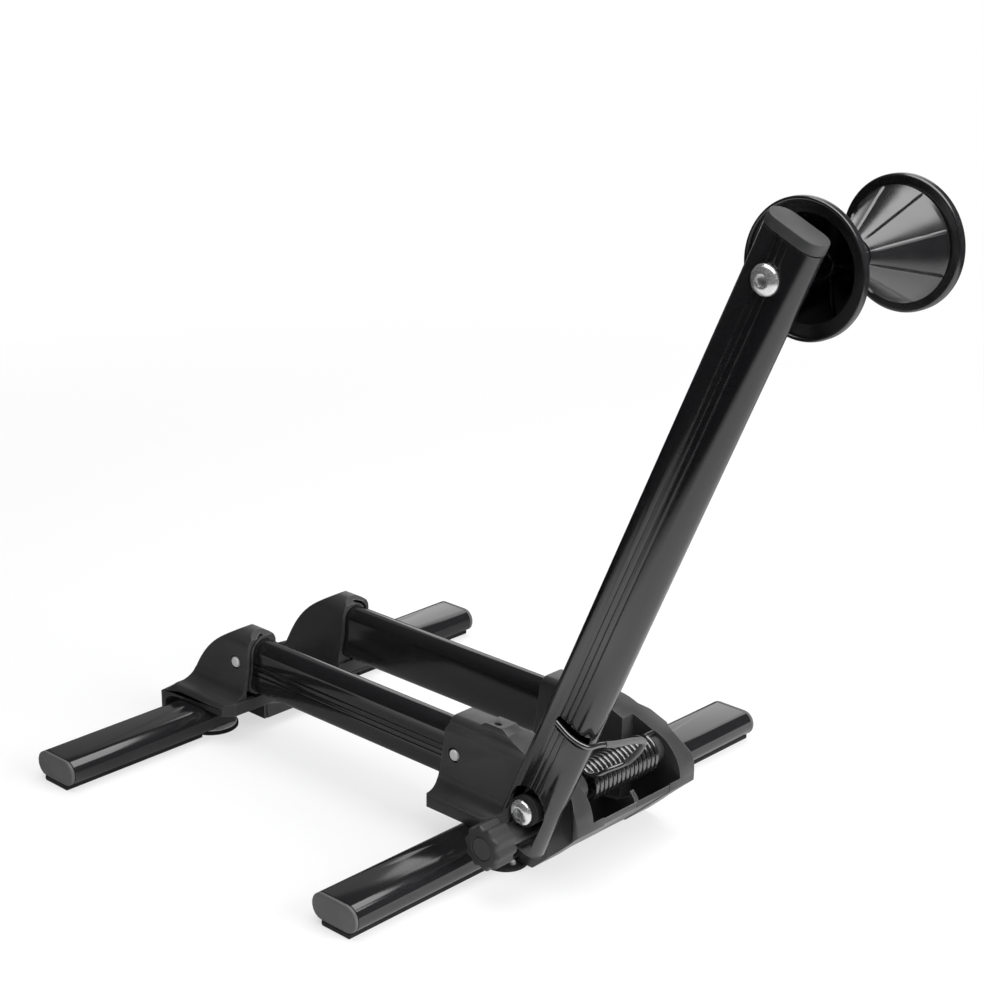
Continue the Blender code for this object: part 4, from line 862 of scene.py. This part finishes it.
def buttonHead(name, radius, height, shank, length, socket):
    # head above Z 0, shank below it, with a six-sided socket in its dome
    rim = height * 0.14
    dome = [(radius * u, rim + (height - rim) * v) for u, v in bend((0, 0), 1, 0, 60, 10)]
    crown = dome[-1]
    profile = [(0, crown[1])] + [(crown[0] - 0.0003, crown[1])] + dome[::-1]
    profile += [(radius, 0.0002), (radius - 0.0002, 0), (shank, 0), (shank, -length + 0.0005)]
    profile += [(shank - 0.0005, -length), (0, -length)]
    item = lathe(name, profile, bolt["steps"])
    hexagon = bend((0, 0), socket, 0, 300, 5)
    depth = height * (1 - bolt["socketShare"])
    points = [(x, y, z) for z in (depth, height * 2) for x, y in hexagon]
    faces = [(i, (i + 1) % 6, 6 + (i + 1) % 6, 6 + i) for i in range(6)]
    faces += [tuple(range(5, -1, -1)), tuple(range(6, 12))]
    cutBy(item, fromPoints(name + "Socket", points, faces))
    return softened(item, 0.00015, 40, 2)


def addBolt(node, name, body, reach, seat):
    # the head rests at seat, and the shank ends where the solid's does
    radius, height, shank, socket = bolt[node]
    item = buttonHead(name, radius, height, shank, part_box(node)[1].x - seat, socket)
    fit(smoothed(placed(item, onArm(seat, reach, -1)), 38), body, "chrome", node)


def addSmallScrews():
    for side in sides:
        for end, look in (("front", frontHousing), ("rear", rearHousing)):
            node = "cheek_screw_%s_%s" % (end, side)
            low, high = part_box(node)
            shift = Vector((0, look["screwY"], housing["screwZ"])) - (low + high) / 2
            shift.x = 0
            screw = refined(node, "cheekScrew.%s.%s" % (end, side))
            fit(placed(screw, Matrix.Translation(shift)), "base", "screw", node)
        fit(refined("foot_rivet_" + side, "footRivet." + side), "base", "screw", "foot_rivet_" + side)


addBolt("axle_bolt", "axleBolt", "swing_arm", roller["reach"], bolt["axleSeat"])
addBolt("pivot_bolt", "pivotBolt", "base", 0.0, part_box("pivot_bolt")[0].x + bolt["pivot_bolt"][1])
addSmallScrews()

print("stage 6: rollers, spring and knob")


def coneRadius(radius, height, angle):
    # half-flat faces between thin ridges on the cone, plain rings elsewhere
    if not roller["start"] < height < faceEnd:
        return radius
    sector = 2 * math.pi / roller["ridges"]
    place = (angle + sector / 2) % sector - sector / 2
    dip = 1 - math.cos(sector / 2) / math.cos(sector / 2 - abs(place))
    fade = min(1.0, (height - roller["start"]) / 0.006) * min(1.0, (faceEnd - height) / 0.0015)
    ridge = roller["ridgeHeight"] * math.exp(-(place * radius / roller["ridgeWidth"]) ** 2)
    return radius * (1 - roller["flat"] * dip * fade) + ridge * fade


def coneBody(name):
    look = roller
    start, end, groove, wall = (look[key] for key in ("start", "end", "groove", "wall"))
    profile = [(look["bore"], start), (look["waist"] - 0.001, start)]
    for share in (0.0, 0.04, 0.08, 0.16, 0.3, 0.45, 0.6, 0.75, 0.88, 0.96, 0.975, 0.99, 1.0):
        profile.append((look["waist"] + (look["face"] - look["waist"]) * share,
                        start + 0.0004 + (faceEnd - start - 0.0004) * share))
    profile += [(look["face"] - 0.0003, faceEnd + 0.0004), (look["grooveRadius"], faceEnd + 0.0006)]
    profile.append((look["grooveRadius"], faceEnd + groove))
    edge = look["rimRound"]
    profile += bend((look["rim"] - edge, end - look["rimWidth"] + edge), edge, -90, 0, 8)
    edge = look["lip"] / 2
    profile += bend((look["rim"] - edge, end - edge), edge, 0, 180, 12)
    inner = look["rim"] - look["lip"]
    neck = look["grooveRadius"] - wall * 0.7
    profile += [(inner, faceEnd + groove + 0.0022), (neck, faceEnd + groove + 0.0016)]
    profile.append((neck - 0.0005, faceEnd - groove))
    slope = (look["face"] - look["waist"]) / (faceEnd - start)
    web, hub, hubEnd = look["web"], look["hub"], look["hubEnd"]
    webRadius = look["waist"] + slope * web - wall
    profile += [(webRadius, web), (hub + 0.001, web), (hub, web + 0.001), (hub, hubEnd - 0.0004)]
    profile += [(hub - 0.0004, hubEnd), (look["bore"], hubEnd), (look["bore"], start)]
    # one rib from the hub out to the rim, its outline as (radius, height)
    rib = [(hub - 0.0005, hubEnd - wall), (inner + 0.0003, end - 0.0030)]
    rib += [(inner + 0.0003, faceEnd + groove + 0.0018), (neck + 0.0004, faceEnd + groove + 0.0012)]
    rib += [(neck + 0.0004, faceEnd - 0.0016), (webRadius + 0.0004, web - 0.0005)]
    rib.append((hub - 0.0005, web - 0.0005))
    return lathe(name, profile, look["steps"], coneRadius), rib


def newTree(name, **inputs):
    # an empty geometry tree with its named inputs
    tree = bpy.data.node_groups.new(name, "GeometryNodeTree")
    for key, kind in inputs.items():
        tree.interface.new_socket(key, in_out="INPUT", socket_type="NodeSocket" + kind)
    tree.interface.new_socket("Geometry", in_out="OUTPUT", socket_type="NodeSocketGeometry")
    return tree, addNode(tree, "NodeGroupInput").outputs


def finishTree(tree, geometry, finish):
    real = addNode(tree, "GeometryNodeRealizeInstances", {0: geometry})
    values = {"Geometry": real.outputs[0], "Material": finish}
    addNode(tree, "NodeGroupOutput", {0: addNode(tree, "GeometryNodeSetMaterial", values).outputs[0]})
    return tree


def ribTree():
    # one rib, repeated about the axle
    tree, given = newTree("ribsAboutAxle", Rib="Object", Count="Int", Finish="Material")
    points = addNode(tree, "GeometryNodePoints", {"Count": given["Count"]})
    rib = addNode(tree, "GeometryNodeObjectInfo", {"Object": given["Rib"]})
    share = maths(tree, "DIVIDE", addNode(tree, "GeometryNodeInputIndex").outputs[0], given["Count"])
    turn = addNode(tree, "ShaderNodeCombineXYZ", {"Z": maths(tree, "MULTIPLY", share, 2 * math.pi)})
    values = {"Points": points.outputs[0], "Instance": rib.outputs["Geometry"], "Rotation": turn.outputs[0]}
    ribs = addNode(tree, "GeometryNodeInstanceOnPoints", values)
    return finishTree(tree, ribs.outputs[0], given["Finish"])


def grown(name, tree, **values):
    # what a node tree makes, as a plain mesh
    item = linked(name, bpy.data.meshes.new(name))
    modifier = item.modifiers.new("nodes", "NODES")
    modifier.node_group = tree
    sockets = [socket for socket in tree.interface.items_tree if socket.in_out == "INPUT"]
    for socket in sockets:
        modifier[socket.identifier] = values[socket.name]
    return settled(item)


def addRollers():
    tree = ribTree()
    for side, sign in sides.items():
        body, outline = coneBody("cone." + side)
        half = roller["ribWidth"] / 2
        points = [(r, y, h) for y in (-half, half) for r, h in outline]
        count = len(outline)
        faces = [tuple(range(count)), tuple(range(2 * count - 1, count - 1, -1))]
        faces += [(i, count + i, count + (i + 1) % count, (i + 1) % count) for i in range(count)]
        rib = softened(mended(fromPoints("rib", points, faces)), 0.0003, 30, 2)
        ribs = grown("coneRibs." + side, tree, Rib=rib, Count=roller["ribs"], Finish=materials["roller"])
        bpy.data.objects.remove(rib, do_unlink=True)
        place = onArm(0, roller["reach"], sign)
        fit(smoothed(placed(body, place), 30), side + "_cone", "roller", "roller_" + side)
        fit(smoothed(placed(ribs, place), 30), side + "_cone", "roller")


spring = {
    "wire": 0.0016, "coil": 0.0110, "right": 0.0325, "pitch": 0.0040, "turns": 15, "extra": 34.0,
    "perTurn": 28, "round": 12, "anchor": 0.0467, "slotFloor": -0.0782,
    "sleeve": 0.0020, "sleeveEnd": -0.0640,
    # the leg in millimetres, from the coil up behind the arm and into its slot
    "leg": ((-26.6, -7.5, 13.4), (-22.9, -10.5, 19.6), (-17.0, -13.5, 23.2), (-13.6, -15.0, 26.0),
            (-13.4, -17.0, 32.0), (-14.0, -19.0, 38.8), (-15.8, -20.6, 46.4), (-20.4, -22.6, 53.2),
            (-29.0, -24.8, 60.2), (-40.0, -24.8, 64.6), (-52.1, -24.6, 67.6), (-59.0, -23.8, 69.0),
            (-66.9, -21.2, 70.1), (-76.0, -21.0, 71.2)),
    "hook": ((-18.2, 70.9), (-12.0, 69.2), (-6.3, 68.8), (-1.0, 69.4), (4.2, 70.0)),
}


def springPath():
    # a straight lead from the anchor, the coil, and the corners of the leg
    first = math.pi / 2 - armLean
    turns = spring["turns"] + spring["extra"] / 360
    count = round(spring["perTurn"] * turns)
    coil = []
    for i in range(count + 1):
        angle = first + turns * 2 * math.pi * i / count
        x = spring["right"] - spring["pitch"] * turns * i / count
        coil.append(Vector((x, spring["coil"] * math.cos(angle), spring["coil"] * math.sin(angle))))
    start = coil[0]
    lead = [Vector((x, start.y, start.z)) for x in (spring["anchor"], start.x + 1.3 * spring["wire"])]
    leg = [Vector(spot) / 1000 for spot in spring["leg"]]
    leg += [Vector((spring["slotFloor"], y / 1000, z / 1000)) for y, z in spring["hook"]]
    return lead, coil, leg


def rounded(points, times=3):
    # corners cut again and again, the two ends kept
    for _ in range(times):
        cut = [points[0]]
        for first, second in zip(points, points[1:]):
            cut += [first.lerp(second, 0.25), first.lerp(second, 0.75)]
        points = cut + [points[-1]]
    return points


def wireTree():
    tree, given = newTree("wireAlongPath", Path="Object", Radius="Float", Sides="Int", Finish="Material")
    path = addNode(tree, "GeometryNodeObjectInfo", {"Object": given["Path"]})
    values = {"Radius": given["Radius"], "Resolution": given["Sides"]}
    ring = addNode(tree, "GeometryNodeCurvePrimitiveCircle", values)
    values = {"Curve": path.outputs["Geometry"], "Profile Curve": ring.outputs["Curve"], "Fill Caps": True}
    tube = addNode(tree, "GeometryNodeCurveToMesh", values)
    return finishTree(tree, tube.outputs["Mesh"], given["Finish"])


def pathOf(name, points):
    curve = bpy.data.curves.new(name, "CURVE")
    curve.dimensions = "3D"
    spline = curve.splines.new("POLY")
    spline.points.add(len(points) - 1)
    for point, spot in zip(spline.points, points):
        point.co = (*spot, 1)
    return linked(name, curve)


def addWire(name, tree, points, radius, finish, *stands):
    path = pathOf(name + "Path", points)
    wire = grown(name, tree, Path=path, Radius=radius, Sides=spring["round"], Finish=materials[finish])
    bpy.data.objects.remove(path, do_unlink=True)
    fit(smoothed(placed(mended(wire), armPlace), 50), "swing_arm", finish, *stands)


def addSpring():
    lead, coil, leg = springPath()
    end = rounded([coil[-1]] + leg)
    low = leg[3].z
    cover = [point for point in end if point.z > low and point.x > spring["sleeveEnd"]]
    tree = wireTree()
    addWire("torsionSpring", tree, lead + coil[:-1] + end, spring["wire"], "spring", "torsion_spring")
    addWire("springSleeve", tree, cover, spring["sleeve"], "sleeve")


knob = {"back": -0.0893, "front": -0.1053, "radius": 0.0133, "lobe": 0.0009, "lobes": 10, "drop": 0.0185,
        "round": 0.0022, "recess": 0.0075, "recessDepth": 0.0010, "cap": 0.0072, "bore": (0.0060, 0.0070),
        "steps": 128}


def knobRadius(radius, height, angle):
    # the lobes fade out towards the middle of the face, at every height
    share = max(0.0, (radius - knob["recess"]) / (knob["radius"] - knob["recess"]))
    return radius + knob["lobe"] * share * math.cos(knob["lobes"] * angle)


def addKnob():
    length = knob["back"] - knob["front"]
    edge, recess, capRadius = knob["round"], knob["recess"], knob["cap"]
    low = length - knob["recessDepth"]
    profile = [(0, low), (recess - 0.0003, low), (recess, low + 0.0003), (recess, length - 0.0002)]
    profile.append((recess + 0.0002, length))
    profile += bend((knob["radius"] - edge, length - edge), edge, 90, 0, 10)
    profile += bend((knob["radius"] - edge / 2, edge / 2), edge / 2, 0, -90, 6)
    bore, depth = knob["bore"]
    profile += [(bore, 0), (bore, depth), (0, depth)]
    place = onArm(knob["back"], -knob["drop"], -1)
    body = placed(lathe("knob", profile, knob["steps"], knobRadius), place)
    fit(smoothed(body, 40), "lock_knob", "grip", "knob")
    top = length - 0.0001
    disc = [(0, top), (capRadius * 0.5, top - 0.00003), (capRadius - 0.0004, top - 0.0001)]
    disc += [(capRadius, top - 0.0005), (capRadius, low + 0.0001), (0, low + 0.0001)]
    cap = placed(lathe("knobCap", disc, 64), place)
    fit(smoothed(cap, 40), "lock_knob", "plug", "knob_cap")


addRollers()
addSpring()
addKnob()
